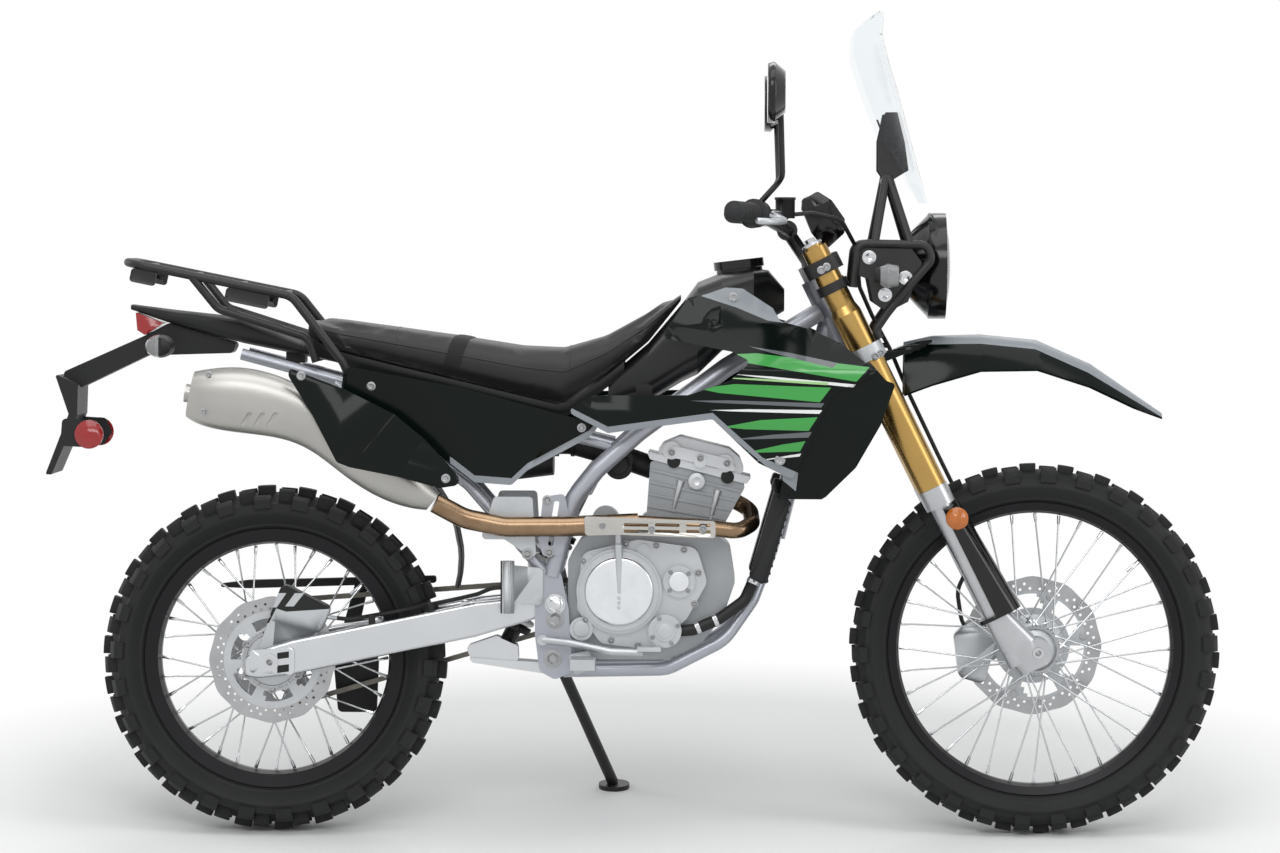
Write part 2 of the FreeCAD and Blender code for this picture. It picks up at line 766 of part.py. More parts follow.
def swingarm():
    pieces = []
    depth = dim.swingarm_depth / 2
    slope = (pivot.z - rear_axle.z) / (pivot.x - rear_axle.x)
    stations = [
        (rear_axle.x - 46, 19, 92, 118), (rear_axle.x - 20, 27, 92, 118), (rear_axle.x + 40, depth, 91, 117),
        (pivot.x - 150, depth, 72, 100), (pivot.x - 60, 24, 66, 97), (pivot.x + 14, 17, 66, 97),
    ]
    for side in (1, -1):
        wires = []
        for x, half, inside, outside in stations:
            middle = rear_axle.z + (x - rear_axle.x) * slope
            corners = [Vector(x, inside * side, middle - half), Vector(x, outside * side, middle - half),
                       Vector(x, outside * side, middle + half), Vector(x, inside * side, middle + half)]
            wires.append(rounded_path(corners, 7, closed=True))
        pieces.append(Part.makeLoft(wires, True, True))
    middle = rear_axle.z + 375 * slope
    pieces.append(Part.makeBox(46, 160, 52, Vector(pivot.x - 183, -80, middle - 26)))
    pieces.append(cross_rod(pivot, -97, 97, 16.0))
    arm = joined(pieces).cut(cross_rod(rear_axle, -200, 200, dim.axle_radius + dim.running_gap))
    bolt = cross_rod(pivot, -123, 123, dim.pivot_bolt_radius)
    face = dim.frame_plate_side + dim.frame_plate_thickness + dim.running_gap
    heads = [cross_rod(pivot, face, face + 9, 16.0), cross_rod(pivot, -face - 9, -face, 16.0)]
    keep("swingarm", Part.makeCompound([joined([arm, bolt] + heads)] + axle_blocks()))


hanger_side = 87.4
hanger_thickness = 6.4


def axle_blocks():
    shapes = []
    for side in (1, -1):
        low = min(118.3 * side, 125 * side)
        block = plate([rear_axle + Vector(-38, 0, 22), rear_axle + Vector(46, 0, 28),
                       rear_axle + Vector(46, 0, -24), rear_axle + Vector(-38, 0, -20)],
                      low, low + 6.7, 8)
        shapes.append(block.cut(cross_rod(rear_axle, -200, 200, dim.axle_radius + dim.running_gap)))
    spacer_right = dim.rear_disc_side + 4 + dim.running_gap
    spacer_left = dim.chain_side - dim.sprocket_thickness / 2
    hole = dim.axle_radius + dim.running_gap
    shapes.append(ring(rear_axle + Vector(0, spacer_left, 0), rear_axle + Vector(0, 91.5, 0), 16.0, hole))
    inner = hanger_side - hanger_thickness - dim.running_gap
    shapes.append(ring(rear_axle + Vector(0, -inner, 0), rear_axle + Vector(0, -spacer_right, 0), 16.0, hole))
    outer = hanger_side + dim.running_gap
    shapes.append(ring(rear_axle + Vector(0, -90.7, 0), rear_axle + Vector(0, -outer, 0), 16.0, hole))
    return shapes


swingarm()


def rear_shock():
    foot = spot(pivot.x - 102, pivot.z - 95)
    top = spot(pivot.x + 52, pivot.z + 218)
    along = unit(top - foot)
    damper = joined([rod(foot, top, 15.0), rod(foot + along * 45, foot + along * 250, 20.5 - dim.running_gap)])
    seats = [rod(foot + along * 45, foot + along * 57, 31.0), rod(foot + along * 238, foot + along * 250, 31.0)]
    eyes = [cross_rod(foot, -16, 16, 17.0), cross_rod(top, -14, 14, 16.0)]
    coils = []
    for index in range(9):
        place = foot + along * (66 + index * 20.5)
        coils.append(Part.makeTorus(26.0, 5.5, place, along))
    keep("rear_shock", Part.makeCompound([joined([damper] + seats + eyes)] + coils))


rear_shock()


def shock_linkage():
    foot = spot(pivot.x - 102, pivot.z - 95)
    rocker = plate([foot + Vector(-12, 0, 28), foot + Vector(28, 0, 10), foot + Vector(30, 0, -22),
                    foot + Vector(-60, 0, -16), foot + Vector(-70, 0, 8)], 17.0, 30.0, 8)
    link = plate([foot + Vector(-66, 0, -12), foot + Vector(-56, 0, -22),
                  spot(546, 296), spot(558, 306), spot(552, 318)], 31.0, 40.0, 5)
    keep("shock_linkage", both_sides(joined([rocker, link.translated(Vector(0, -0.5, 0))])))


shock_linkage()


# Engine


def crankcase():
    outline = [spot(558, 380), spot(558, 520), spot(582, 560), spot(690, 596), spot(815, 590), spot(862, 545),
               spot(872, 480), spot(850, 415), spot(800, 352), spot(740, 333), spot(610, 333)]
    case = plate(outline, -92.0, 60.0, 24)
    cylinder = plate([spot(704, 594), spot(845, 575), spot(893, 662), spot(712, 708)], -62.0, 58.0, 8)
    ribs = []
    for share in (0.22, 0.42, 0.62, 0.82):
        low_left = spot(704 + 8 * share, 594 + 114 * share)
        low_right = spot(845 + 48 * share, 575 + 87 * share)
        rise = Vector(1, 0, 4)
        ribs.append(plate([low_left, low_right, low_right + rise, low_left + rise], -67.0, 63.0, 0.8))
    starter = cross_rod(spot(628, 594), -85, -36, 26.0)
    boss = cross_rod(spot(799, 668), -72, -58, 15.0)
    breather = cross_rod(spot(708, 592), -50, 30, 14.0)
    keep("crankcase", seated(joined([case, cylinder, starter, boss, breather] + ribs), "frame"))


crankcase()


def cylinder_head():
    joint = plate([spot(711, 709), spot(892.5, 663), spot(903, 676), spot(705, 724)], -70.0, 64.0, 3)
    lid = plate([spot(722, 718), spot(735, 738), spot(768, 752), spot(860, 729), spot(880, 712), spot(892, 678)],
                -64.0, 58.0, 9)
    side_bulge = plate([spot(738, 716), spot(756, 735), spot(858, 711), spot(880, 684)], -78.0, 72.0, 12)
    cam_ends = [cross_rod(spot(x, z), -73, 68, 17.0) for x, z in ((752, 726), (852, 702))]
    plug = cross_rod(spot(806, 706), -84, -60, 12.0)
    keep("cylinder_head", joined([joint, lid, side_bulge, plug] + cam_ends))


cylinder_head()


def engine_covers():
    clutch = spot(655, 464)
    right = [
        plate([spot(575, 430), spot(585, 535), spot(690, 560), spot(800, 545), spot(820, 480), spot(782, 412),
               spot(720, 352), spot(620, 365)], -112.0, -92.3, 22),
        cross_rod(clutch, -130, -100, dim.clutch_cover_radius),
        cross_rod(clutch, -136, -100, dim.clutch_cover_radius - 22),
        cross_rod(spot(767, 482), -122, -100, 30.0),
        cross_rod(spot(741, 390), -136, -100, 31.0),
        cross_rod(spot(584, 392), -119, -100, 22.0),
        ring(spot(655, 464, -112), spot(655, 464, -124), 80.0, 73.0),
        cross_rod(spot(767, 482), -127, -100, 19.0),
        cross_rod(spot(741, 390), -141, -100, 19.0),
        cross_rod(spot(700, 540), -116, -100, 12.0),
        cross_rod(spot(600, 520), -116, -100, 12.0),
    ]
    generator = spot(752, 478)
    left = [
        plate([spot(665, 420), spot(672, 540), spot(760, 572), spot(830, 530), spot(836, 450), spot(790, 385),
               spot(720, 365)], 60.3, 82.0, 22),
        cross_rod(generator, 80, 104, 70.0),
        cross_rod(generator, 80, 109, 44.0),
    ]
    keep("engine_covers", seated(Part.makeCompound([joined(right), joined(left)]), "frame"))


engine_covers()


def radiators():
    hose = tube([spot(914, 500, -100), spot(890, 446, -104), spot(842, 412, -120), spot(795, 392, -125),
                 spot(765, 390, -125)], 11, 30)
    hose = seated(hose, "engine_covers")
    shapes = []
    for side in (1, -1):
        low = min(70 * side, 150 * side)
        core = plate([spot(898, 492), spot(925, 478), spot(972, 640), spot(945, 655)], low, low + 80, 5)
        upward = unit(Vector(47, 0, 162))
        forward = Vector(upward.z, 0, -upward.x)
        slats = []
        for index in range(11):
            corner = spot(925, 478) + upward * (6 + 15 * index) - forward * 1
            slats.append(plate([corner, corner + forward * 8, corner + forward * 8 + upward * 4,
                                corner + upward * 4], low + 3, low + 77, 0.8))
        for edge in (low + 3, low + 38, low + 72):
            corner = spot(925, 478) + upward * 4 - forward * 1
            slats.append(plate([corner, corner + forward * 6, corner + forward * 6 + upward * 158,
                                corner + upward * 158], edge, edge + 5, 0.8))
        core = joined([core] + slats)
        tank_low = min(72 * side, 148 * side)
        caps = plate([spot(938, 655.3), spot(978, 640.3), spot(985, 662), spot(945, 677)], tank_low, tank_low + 76, 5)
        shapes.append(joined([core, caps, hose] if side < 0 else [core, caps]))
    keep("radiators", Part.makeCompound(shapes))


radiators()


def intake():
    throttle = tube([spot(715, 690), spot(652, 712), spot(560, 737), spot(500, 737)], 22, 60)
    injector = cross_rod(spot(664, 707), -52, 48, 15.0)
    throttle = seated(joined([throttle, injector]), "crankcase", "cylinder_head")
    box = body_loft([
        (spot(250, 738), spot(250, 770), 50), (spot(300, 700), spot(300, 776), 58),
        (spot(430, 664), spot(430, 778), 60), (spot(528, 676), spot(528, 760), 58),
    ], 3.6, ruled=True)
    pad_top = 795 - 11 - dim.running_gap
    pad = plate([spot(335, 765), spot(365, 765), spot(365, pad_top), spot(335, pad_top)], -20, 20, 2)
    keep("intake", joined([throttle, box, pad]))


intake()


# Exhaust, on the right side


def exhaust():
    header = tube([
        spot(862, 633, -18), spot(900, 613, -26), spot(904, 590, -98), spot(878, 577, -128),
        spot(805, 586, -133), spot(690, 592, -137),
    ], dim.header_pipe_radius, 34)
    middle = tube([
        spot(690, 592, -137), spot(560, 586, -146), spot(440, 585, -148), spot(366, 600, -150),
        spot(311.2, 629.8, -157.5),
    ], dim.mid_pipe_radius, 90)
    pipe = seated(joined([header, middle]), "crankcase")
    keep("exhaust_pipe", pipe)
    shield = plate([spot(655, 604), spot(590, 606), spot(592, 570), spot(655, 572), spot(835, 566), spot(835, 598)],
                   -168.2, -164.2, 6)
    for low_x in (664, 722, 780):
        for low_z in (576, 588):
            shield = shield.cut(plate([spot(low_x, low_z), spot(low_x + 46, low_z - 1), spot(low_x + 46, low_z + 5),
                                       spot(low_x, low_z + 6)], -175, -160, 2.8))
    clips = [cross_rod(spot(624, 589), -165, -150, 9), cross_rod(spot(812, 584), -165, -140, 9)]
    return seated(joined([shield] + clips), "exhaust_pipe")


def muffler():
    along = unit(Vector(190, 0, -37))
    lower = unit(Vector(150, 0, -118))
    rise = Vector(-along.z, 0, along.x)
    slant = Vector(-lower.z, 0, lower.x)
    can = Part.makeLoft([
        oval(spot(-141, 832, -190), side_axis, rise, 40, 43, 2.8),
        oval(spot(-120, 828, -190), side_axis, rise, 46, 51, 2.8),
        oval(spot(62, 793, -190), side_axis, rise, 46, 52, 2.8),
        oval(spot(170, 722, -183), side_axis, slant, 42, 48, 2.5),
        oval(spot(262, 656, -170), side_axis, slant, 34, 36, 2.2),
        oval(spot(308, 632, -158.5), side_axis, slant, 20, 20, 2.0),
    ], True, False)
    outlet = ring(spot(-152, 834, -190), spot(-140, 832, -190), 17.0, 13.0)
    body = joined([can, outlet])
    for x in (-46, -22, 2):
        body = body.cut(plate([spot(x, 775), spot(x + 9, 775), spot(x + 25, 800), spot(x + 16, 800)], -245, -233.4, 3.5))
    keep("muffler", body)
    guard = plate([
        spot(47, 882), spot(149, 843), spot(241, 797), spot(297, 751), spot(343, 702), spot(370, 668),
        spot(324, 661), spot(250, 681), spot(158, 699), spot(134, 708), spot(88, 797), spot(44, 868),
    ], -242.0, -236.5, 12)
    studs = [cross_rod(spot(88, 815), -238, -218, 8), cross_rod(spot(300, 690), -238, -190, 8)]
    return seated(joined([guard] + studs), "muffler")


keep("exhaust_guards", Part.makeCompound([exhaust(), muffler()]))


# Bodywork


seat_stations = [
    (62, 932, 973, 76), (130, 904, 966, 94), (340, 855, 938, 118), (470, 824, 918, 116),
    (550, 805, 915, 104), (630, 862, 938, 86), (706, 926, 980, 72), (772, 1004, 1024, 52),
]


def seat():
    stations = [(spot(x, low), spot(x, high), half) for x, low, high, half in seat_stations]
    keep("seat", body_loft(stations, 3.4, ruled=True))


seat()


def fuel_tank():
    gap = dim.running_gap
    stations = [
        (spot(632, 800), spot(632, 863 - gap), 62), (spot(706, 815), spot(706, 926 - gap), 84),
        (spot(772, 855), spot(772, 1004 - gap), 104), (spot(800, 868), spot(800, 1042), 112),
        (at_head(-172, -152), at_head(-172, -4), 116), (at_head(-112, -116), at_head(-112, 4), 84),
        (at_head(-84, -94), at_head(-84, 1), 50), (at_head(-54, -76), at_head(-54, -34), 30),
    ]
    tank = body_loft(stations, 3.4, ruled=True)
    feet = plate([spot(688, 764), spot(712, 764), spot(716, 850), spot(684, 850)], 74, 84, 4)
    feet = feet.cut(tube(spar_path(1), dim.frame_tube_radius + gap, 90))
    slope = unit(Vector(-8, 0, 67))
    neck_top = at_head(-139, 4)
    neck = rod(neck_top - slope * 30, neck_top, dim.fuel_cap_radius - 4)
    keep("fuel_tank", joined([tank, feet, mirrored(feet), neck]))
    cap_centre = neck_top + slope * gap
    cap = rod(cap_centre, cap_centre + slope * 16, dim.fuel_cap_radius)
    keep("fuel_cap", cap)


fuel_tank()


def skin(stations, thickness):
    # stations: X of the section and its outer profile from the top down, as (Y, Z)
    wires = []
    for x, profile in stations:
        outer = [Vector(x, y, z) for y, z in profile]
        inner = [point + Vector(0, thickness, 0) for point in outer]
        wires.append(Part.makePolygon(outer + inner[::-1] + [outer[0]]))
    return Part.makeLoft(wires, True, True)


def tank_shrouds():
    stations = [
        (550, [(-132, 1050), (-136, 960), (-150, 880), (-152, 780), (-146, 640)]),
        (720, [(-118, 1050), (-134, 960), (-172, 880), (-176, 780), (-168, 640)]),
        (850, [(-126, 1050), (-152, 960), (-204, 880), (-206, 780), (-180, 640)]),
        (1000, [(-138, 1050), (-168, 960), (-222, 880), (-222, 780), (-188, 640)]),
        (1170, [(-150, 1050), (-184, 960), (-226, 880), (-226, 780), (-196, 640)]),
    ]
    wing = plate([
        spot(733, 939), spot(783, 1014), spot(816, 1020), spot(852, 1033), spot(884, 1031), spot(940, 995),
        spot(954, 971), spot(1013, 955), spot(1065, 931), spot(1137, 875), spot(1053, 840), spot(1029, 790),
        spot(978, 677), spot(914, 708), spot(829, 789), spot(634, 761), spot(556, 801), spot(605, 831),
        spot(783, 833), spot(860, 860), spot(900, 896), spot(864, 914),
    ], -260, -60, 8)
    panel = skin(stations, dim.panel_thickness).common(wing)
    blade_outline = plate([
        spot(1150, 862), spot(1167, 856), spot(1140, 780), spot(1095, 700), spot(1040, 645), spot(985, 612),
        spot(962, 662), spot(1004, 752), spot(1020, 812), spot(1052, 862), spot(1120, 896),
    ], -260, -60, 6)
    inset = dim.panel_thickness + dim.running_gap
    blade = skin(stations, dim.panel_thickness).translated(Vector(0, inset, 0)).common(blade_outline)
    upper_boss = seated(cross_rod(spot(832, 962), -150, -90, 9), "fuel_tank")
    lower_boss = seated(plate([spot(952, 640), spot(976, 640), spot(990, 706), spot(966, 706)], -196, -140, 4),
                        "radiators")
    lower_boss = lower_boss.cut(skin(stations, 80.0).translated(Vector(0, inset - 80.0, 0)))
    panel = joined([panel, upper_boss])
    blade = joined([blade, lower_boss])
    keep("tank_shrouds", Part.makeCompound([both_sides(panel), both_sides(blade)]))


tank_shrouds()


def side_covers():
    cover = plate([
        spot(358, 844), spot(548, 794), spot(620, 776), spot(598, 752), spot(483, 690), spot(453, 662),
        spot(384, 667), spot(348, 695), spot(284, 744), spot(134, 839), spot(140, 884),
    ], -132.0, -124.0, 10)
    bosses = [cross_rod(spot(350, 790), -126, -78, 9), cross_rod(spot(205, 838), -126, -74, 8)]
    keep("side_covers", seated(both_sides(joined([cover] + bosses)), "frame"))


side_covers()


def rear_fender():
    stations = [
        (spot(330, 838), spot(330, 850), 62), (spot(120, 888), spot(120, 900), 62),
        (spot(-60, 924), spot(-60, 972), 62), (spot(-200, 962), spot(-200, 987), 52),
        (spot(-271, 986), spot(-271, 996), 38),
    ]
    seat_height = 878 + 9 + dim.running_gap
    lug = plate([spot(22, seat_height), spot(58, seat_height), spot(58, 918), spot(22, 925)], -30, 30, 2)
    keep("rear_fender", joined([body_loft(stations, 4.5, ruled=True), lug]))


rear_fender()


def plate_bracket():
    arm = plate([spot(-70, 923.7), spot(-200, 961.6), spot(-240, 940), spot(-405, 866), spot(-372, 836), spot(-240, 900),
                 spot(-80, 905)], -32, 32, 8)
    flap = plate([spot(-410, 866), spot(-366, 846), spot(-368, 788), spot(-416, 676), spot(-428, 676),
                  spot(-384, 790)], -78, 78, 3)
    ears = plate([spot(-396, 782), spot(-332, 778), spot(-320, 752), spot(-335, 727), spot(-400, 730)], 72, 78, 8)
    whole = joined([arm, flap, ears, mirrored(ears)])
    keep("plate_bracket", whole)


plate_bracket()


def rear_lamps():
    tail = plate([spot(-209, 961.5), spot(-261, 981.6), spot(-258, 948), spot(-244, 938.9)], -46, 46, 1)
    stalks = tube([spot(-205, 930, 32.4), spot(-205, 926, 92)], 7, 20)
    bulb = Part.makeLoft([
        oval(spot(-205, 922, 90), Vector(1, 0, 0), Vector(0, 0, 1), 18, 14),
        oval(spot(-205, 920, 120), Vector(1, 0, 0), Vector(0, 0, 1), 27, 21),
        oval(spot(-205, 919, 165), Vector(1, 0, 0), Vector(0, 0, 1), 22, 17),
    ], True, False)
    signal = joined([stalks, bulb])
    reflector = rod(spot(-345, 752, -85), spot(-345, 752, -78.3), 27.0)
    keep("rear_lamps", Part.makeCompound([tail, signal, mirrored(signal), reflector, mirrored(reflector)]))


rear_lamps()


def luggage_rack():
    half = dim.rack_half_width
    radius = dim.rack_tube_radius
    hoop = tube([
        spot(152, 850, -86.5), spot(152, 852, -112), spot(136, 890, -112), spot(38, 1014, -half),
        spot(-273, 1076, -half), spot(-273, 1076, half), spot(38, 1014, half), spot(136, 890, 112),
        spot(152, 852, 112), spot(152, 850, 86.5),
    ], radius, 40)
    pieces = [hoop]
    for x in (-235, -150, -65, 20):
        z = 1014 + (38 - x) * 62 / 311
        pieces.append(cross_rod(spot(x, z), -half, half, 6.0))
    for side in (1, -1):
        pieces.append(tube([spot(-150, 1051, half * side), spot(-100, 989, 94 * side), spot(70, 935, 90 * side),
                            spot(84, 890, 90 * side)], radius, 30))
    keep("luggage_rack", joined(pieces))


luggage_rack()


# Feet, stand and rear brake


def footpegs():
    shapes = []
    for side in (1, -1):
        y = 118.0 * side
        mount = plate([spot(560, 345), spot(600, 352), spot(606, 318), spot(572, 306)],
                      min(y, 132 * side), min(y, 132 * side) + 14, 6)
        peg = Part.makeBox(46, 88, 20, Vector(566, 130 if side > 0 else -218, 322))
        for index in range(6):
            notch_y = 148 + 11 * index
            peg = peg.cut(Part.makeBox(60, 6, 10, Vector(560, notch_y if side > 0 else -notch_y - 6, 336)))
        boss = cross_rod(spot(585, 322), 100 * side, 120 * side, 10)
        shapes.append(seated(joined([mount, peg, boss]), "frame"))
        hanger = plate([spot(420, 640), spot(492, 640), spot(500, 520), spot(440, 560), spot(395, 560)],
                       min(118 * side, 126 * side), min(118 * side, 126 * side) + 8, 8)
        studs = [cross_rod(spot(440, 584), 98 * side, 119 * side, 8),
                 cross_rod(spot(483, 533), 98 * side, 119 * side, 8)]
        shapes.append(seated(joined([hanger] + studs), "frame"))
    keep("footpegs", Part.makeCompound(shapes))


footpegs()


def foot_levers():
    hub = cross_rod(spot(512, 372), -134, -117.3, 10)
    pedal = tube([spot(512, 372, -128), spot(560, 368, -140), spot(640, 352, -150), spot(700, 350, -150)], 7, 40)
    pad = Part.makeBox(44, 30, 8, Vector(690, -170, 354))
    gear = tube([spot(640, 372, 60.3), spot(640, 372, 120), spot(716, 362, 122), spot(716, 362, 165)], 6, 12)
    keep("foot_levers", Part.makeCompound([joined([hub, pedal, pad]), gear]))


foot_levers()


def side_stand():
    top = stand_top
    foot = stand_foot
    along = unit(foot - top)
    leg = rod(top + along * 8, foot - along * 12, dim.stand_tube_radius)
    eye = rod(top - stand_axis * 8, top + stand_axis * 8, 18.0)
    pin_hole = rod(top - stand_axis * 40, top + stand_axis * 40, 7.0 + dim.running_gap)
    ground_normal = Vector(0, -math.sin(lean), math.cos(lean))
    sole_centre = foot - along * 6
    low = sole_centre - ground_normal * ((sole_centre - Vector(0, 0, -lift / math.cos(lean))).dot(ground_normal))
    sole = Part.makeCylinder(30, 9, low, ground_normal)
    post = rod(low + ground_normal * 5, foot - along * 20, 9)
    keep("side_stand", joined([leg, eye, sole, post]).cut(pin_hole))


side_stand()


def rear_brake():
    disc_y = -dim.rear_disc_side + dim.disc_thickness / 2
    slot = dim.disc_thickness / 2 + dim.caliper_clearance
    body = plate([rear_axle + Vector(-6, 0, 78), rear_axle + Vector(92, 0, 52), rear_axle + Vector(112, 0, 100),
                  rear_axle + Vector(20, 0, 146)], disc_y - 24.7, disc_y + 18, 12)
    gap = cross_rod(rear_axle, disc_y - slot, disc_y + slot, dim.rear_disc_radius + 6)
    hanger = plate([rear_axle + Vector(-22, 0, -20), rear_axle + Vector(20, 0, -22), rear_axle + Vector(48, 0, 20),
                    rear_axle + Vector(96, 0, 60), rear_axle + Vector(60, 0, 92), rear_axle + Vector(-4, 0, 84),
                    rear_axle + Vector(-24, 0, 20)], -hanger_side, -hanger_side + hanger_thickness, 12)
    hanger = hanger.cut(cross_rod(rear_axle, -200, 200, dim.axle_radius + dim.running_gap))
    cylinder = rod(spot(446, 422, -132), spot(446, 520, -132), 13.0)
    mount = plate([spot(438, 440), spot(512, 436), spot(512, 506), spot(446, 512)], -124.0, -117.3, 8)
    hose = tube([spot(446, 470, -132), spot(418, 470, -137), spot(390, 457, -122), spot(352, 446, -90),
                 spot(230, 421, -98), spot(150, 407, -104), spot(118, 409, -92), spot(94, 410, -76)],
                dim.brake_hose_radius, 40)
    clips = [plate([spot(294, 412), spot(306, 412), spot(306, 438), spot(294, 438)], -100, -87, 1.5),
             plate([spot(184, 390), spot(196, 390), spot(196, 417), spot(184, 417)], -107, -95, 1.5)]
    whole = joined([body, hanger, cylinder, mount, hose] + clips).cut(gap)
    keep("rear_brake", seated(whole, "swingarm"))


rear_brake()


def chain_guards():
    upper = plate([rear_axle + Vector(-150, 0, 128), rear_axle + Vector(-60, 0, 140),
                   rear_axle + Vector(300, 0, 150), rear_axle + Vector(300, 0, 136),
                   rear_axle + Vector(-60, 0, 124)], 88.0, 104.0, 5)
    stay = plate([rear_axle + Vector(118, 0, 42), rear_axle + Vector(150, 0, 42), rear_axle + Vector(172, 0, 142),
                  rear_axle + Vector(146, 0, 142)], 98.0, 104.0, 3)
    guide = plate([rear_axle + Vector(103, 0, -15), rear_axle + Vector(112, 0, 7), rear_axle + Vector(182, 0, 11),
                   rear_axle + Vector(190, 0, -15), rear_axle + Vector(186, 0, -113),
                   rear_axle + Vector(112, 0, -113)], 90.0, 104.0, 10)
    cover = plate([spot(562, 395), spot(566, 482), spot(620, 500), spot(656, 480), spot(692, 466), spot(692, 446),
                   spot(664, 410), spot(610, 388)], 90.0, 98.0, 12)
    boss = cross_rod(spot(677, 455), 82.3, 92, 4.5)
    keep("chain_guards", Part.makeCompound([
        seated(joined([upper, stay]), "swingarm"),
        seated(guide, "swingarm"),
        seated(joined([cover, boss]), "engine_covers"),
    ]))


chain_guards()


# Steering


def fork():
    spread = dim.fork_spread
    offset = dim.fork_offset
    uppers = []
    lowers = []
    for side in (1, -1):
        y = spread * side
        top = rod(on_fork(offset, -86, y), on_fork(offset, 38, y), dim.fork_upper_radius)
        cap = rod(on_fork(offset, 38, y), on_fork(offset, 44, y), 17.0)
        cone = Part.makeCone(dim.fork_lower_radius, dim.fork_upper_radius, 16,
                             on_fork(offset, -100, y), fork_up)
        lower = rod(on_fork(offset, -462, y), on_fork(offset, -100, y), dim.fork_lower_radius)
        uppers.append(joined([top, cap, cone, lower]))
        collar = rod(on_fork(offset, -500, y), on_fork(offset, -462.3, y), dim.fork_lower_radius + 1)
        leg = rod(on_fork(offset, -axle_drop - 4, y), on_fork(offset, -500, y), dim.stanchion_radius)
        carrier = Part.makeLoft([
            oval(on_fork(offset + 3, -axle_drop + 92, y), side_axis, fork_front, 24, 26, 2.5),
            oval(on_fork(offset + 14, -axle_drop + 30, y), side_axis, fork_front, 24, 36, 2.5),
            oval(on_fork(dim.axle_offset - 16, -axle_drop - 26, y), side_axis, fork_front, 20, 30, 2.5),
        ], True, True)
        boss = cross_rod(front_axle, y - 19, y + 19, 26.0)
        hole = cross_rod(front_axle, -200, 200, dim.axle_radius + dim.running_gap)
        lowers.append(joined([collar, leg, carrier, boss]).cut(hole))
    keep("fork_uppers", Part.makeCompound(uppers))
    keep("fork_lowers", Part.makeCompound(lowers))


fork()


def fork_clamps():
    pieces = []
    half = dim.clamp_thickness / 2
    for along, extra in ((0.0, dim.fork_upper_radius), (-dim.clamp_gap, dim.fork_lower_radius)):
        outline = [on_fork(-24, along - half, 16), on_fork(dim.fork_offset - 36, along - half, 70),
                   on_fork(dim.fork_offset - 36, along - half, dim.fork_spread + 36),
                   on_fork(dim.fork_offset + 36, along - half, dim.fork_spread + 36),
                   on_fork(dim.fork_offset + 36, along - half, -dim.fork_spread - 36),
                   on_fork(dim.fork_offset - 36, along - half, -dim.fork_spread - 36),
                   on_fork(dim.fork_offset - 36, along - half, -70), on_fork(-24, along - half, -16)]
        face = Part.Face(rounded_path(outline, 30, closed=True))
        block = face.extrude(fork_up * dim.clamp_thickness)
        for side in (1, -1):
            y = dim.fork_spread * side
            block = block.cut(rod(on_fork(dim.fork_offset, along - 40, y), on_fork(dim.fork_offset, along + 40, y),
                                  extra + dim.running_gap))
        pieces.append(block)
    stem = rod(on_fork(0, -dim.clamp_gap - half), on_fork(0, half + 6), 15.0)
    for side in (1, -1):
        pieces.append(rod(on_fork(0, half - 2, 42 * side), spot(head.x - 48, head.z + 74, 42 * side), 12.0))
        pieces.append(cross_rod(spot(head.x - 49, head.z + 76), 32 * side, 54 * side, 19.0)
                      .cut(cross_rod(spot(head.x - 49, head.z + 76), -60, 60, dim.handlebar_radius + dim.running_gap)))
    clamps = joined(pieces + [stem])
    clamps = clamps.cut(cross_rod(spot(head.x - 49, head.z + 76), -60, 60, dim.handlebar_radius + dim.running_gap))
    keep("fork_clamps", clamps)


fork_clamps()


def fork_guards():
    shapes = []
    for side in (1, -1):
        y = dim.fork_spread * side
        low = on_fork(dim.fork_offset, -axle_drop + 96, y)
        high = on_fork(dim.fork_offset, -505, y)
        shell = rod(low, high, 34.0).cut(rod(low, high, 31.0))
        back = Part.makeBox(120, 120, 400, Vector(-120, -60, -100))
        back.Placement = Placement(low, Rotation(Vector(0, 1, 0), -dim.rake_angle))
        base = ring(low - fork_up * 3.7, low + fork_up * 4, 34.0, dim.stanchion_radius + dim.running_gap)
        mark = on_fork(dim.fork_offset + 16, -532, y)
        reflector = cross_rod(mark, (dim.fork_spread + 23) * side, (dim.fork_spread + 37) * side, 21.0)
        shapes.append(shell.cut(back).fuse(base).fuse(reflector))
    keep("fork_guards", Part.makeCompound(shapes))


fork_guards()


def front_fender():
    stations = [
        (at_head(172, -134), 98, 46), (at_head(225, -122), 90, 56), (at_head(316, -119), 66, 62),
        (at_head(422, -129), 54, 62), (at_head(525, -174), 42, 54), (at_head(610, -232), 24, 42),
        (at_head(660, -266), 8, 22),
    ]
    shell = arch_shell(stations, 4.0)
    half = dim.clamp_thickness / 2
    under = -dim.clamp_gap - half - dim.running_gap
    mount = plate([on_fork(10, under), on_fork(48, under), at_head(200, -132), at_head(240, -126),
                   at_head(200, -146), on_fork(10, under - 14)], -36, 36, 3)
    keep("front_fender", joined([shell, mount]))


front_fender()


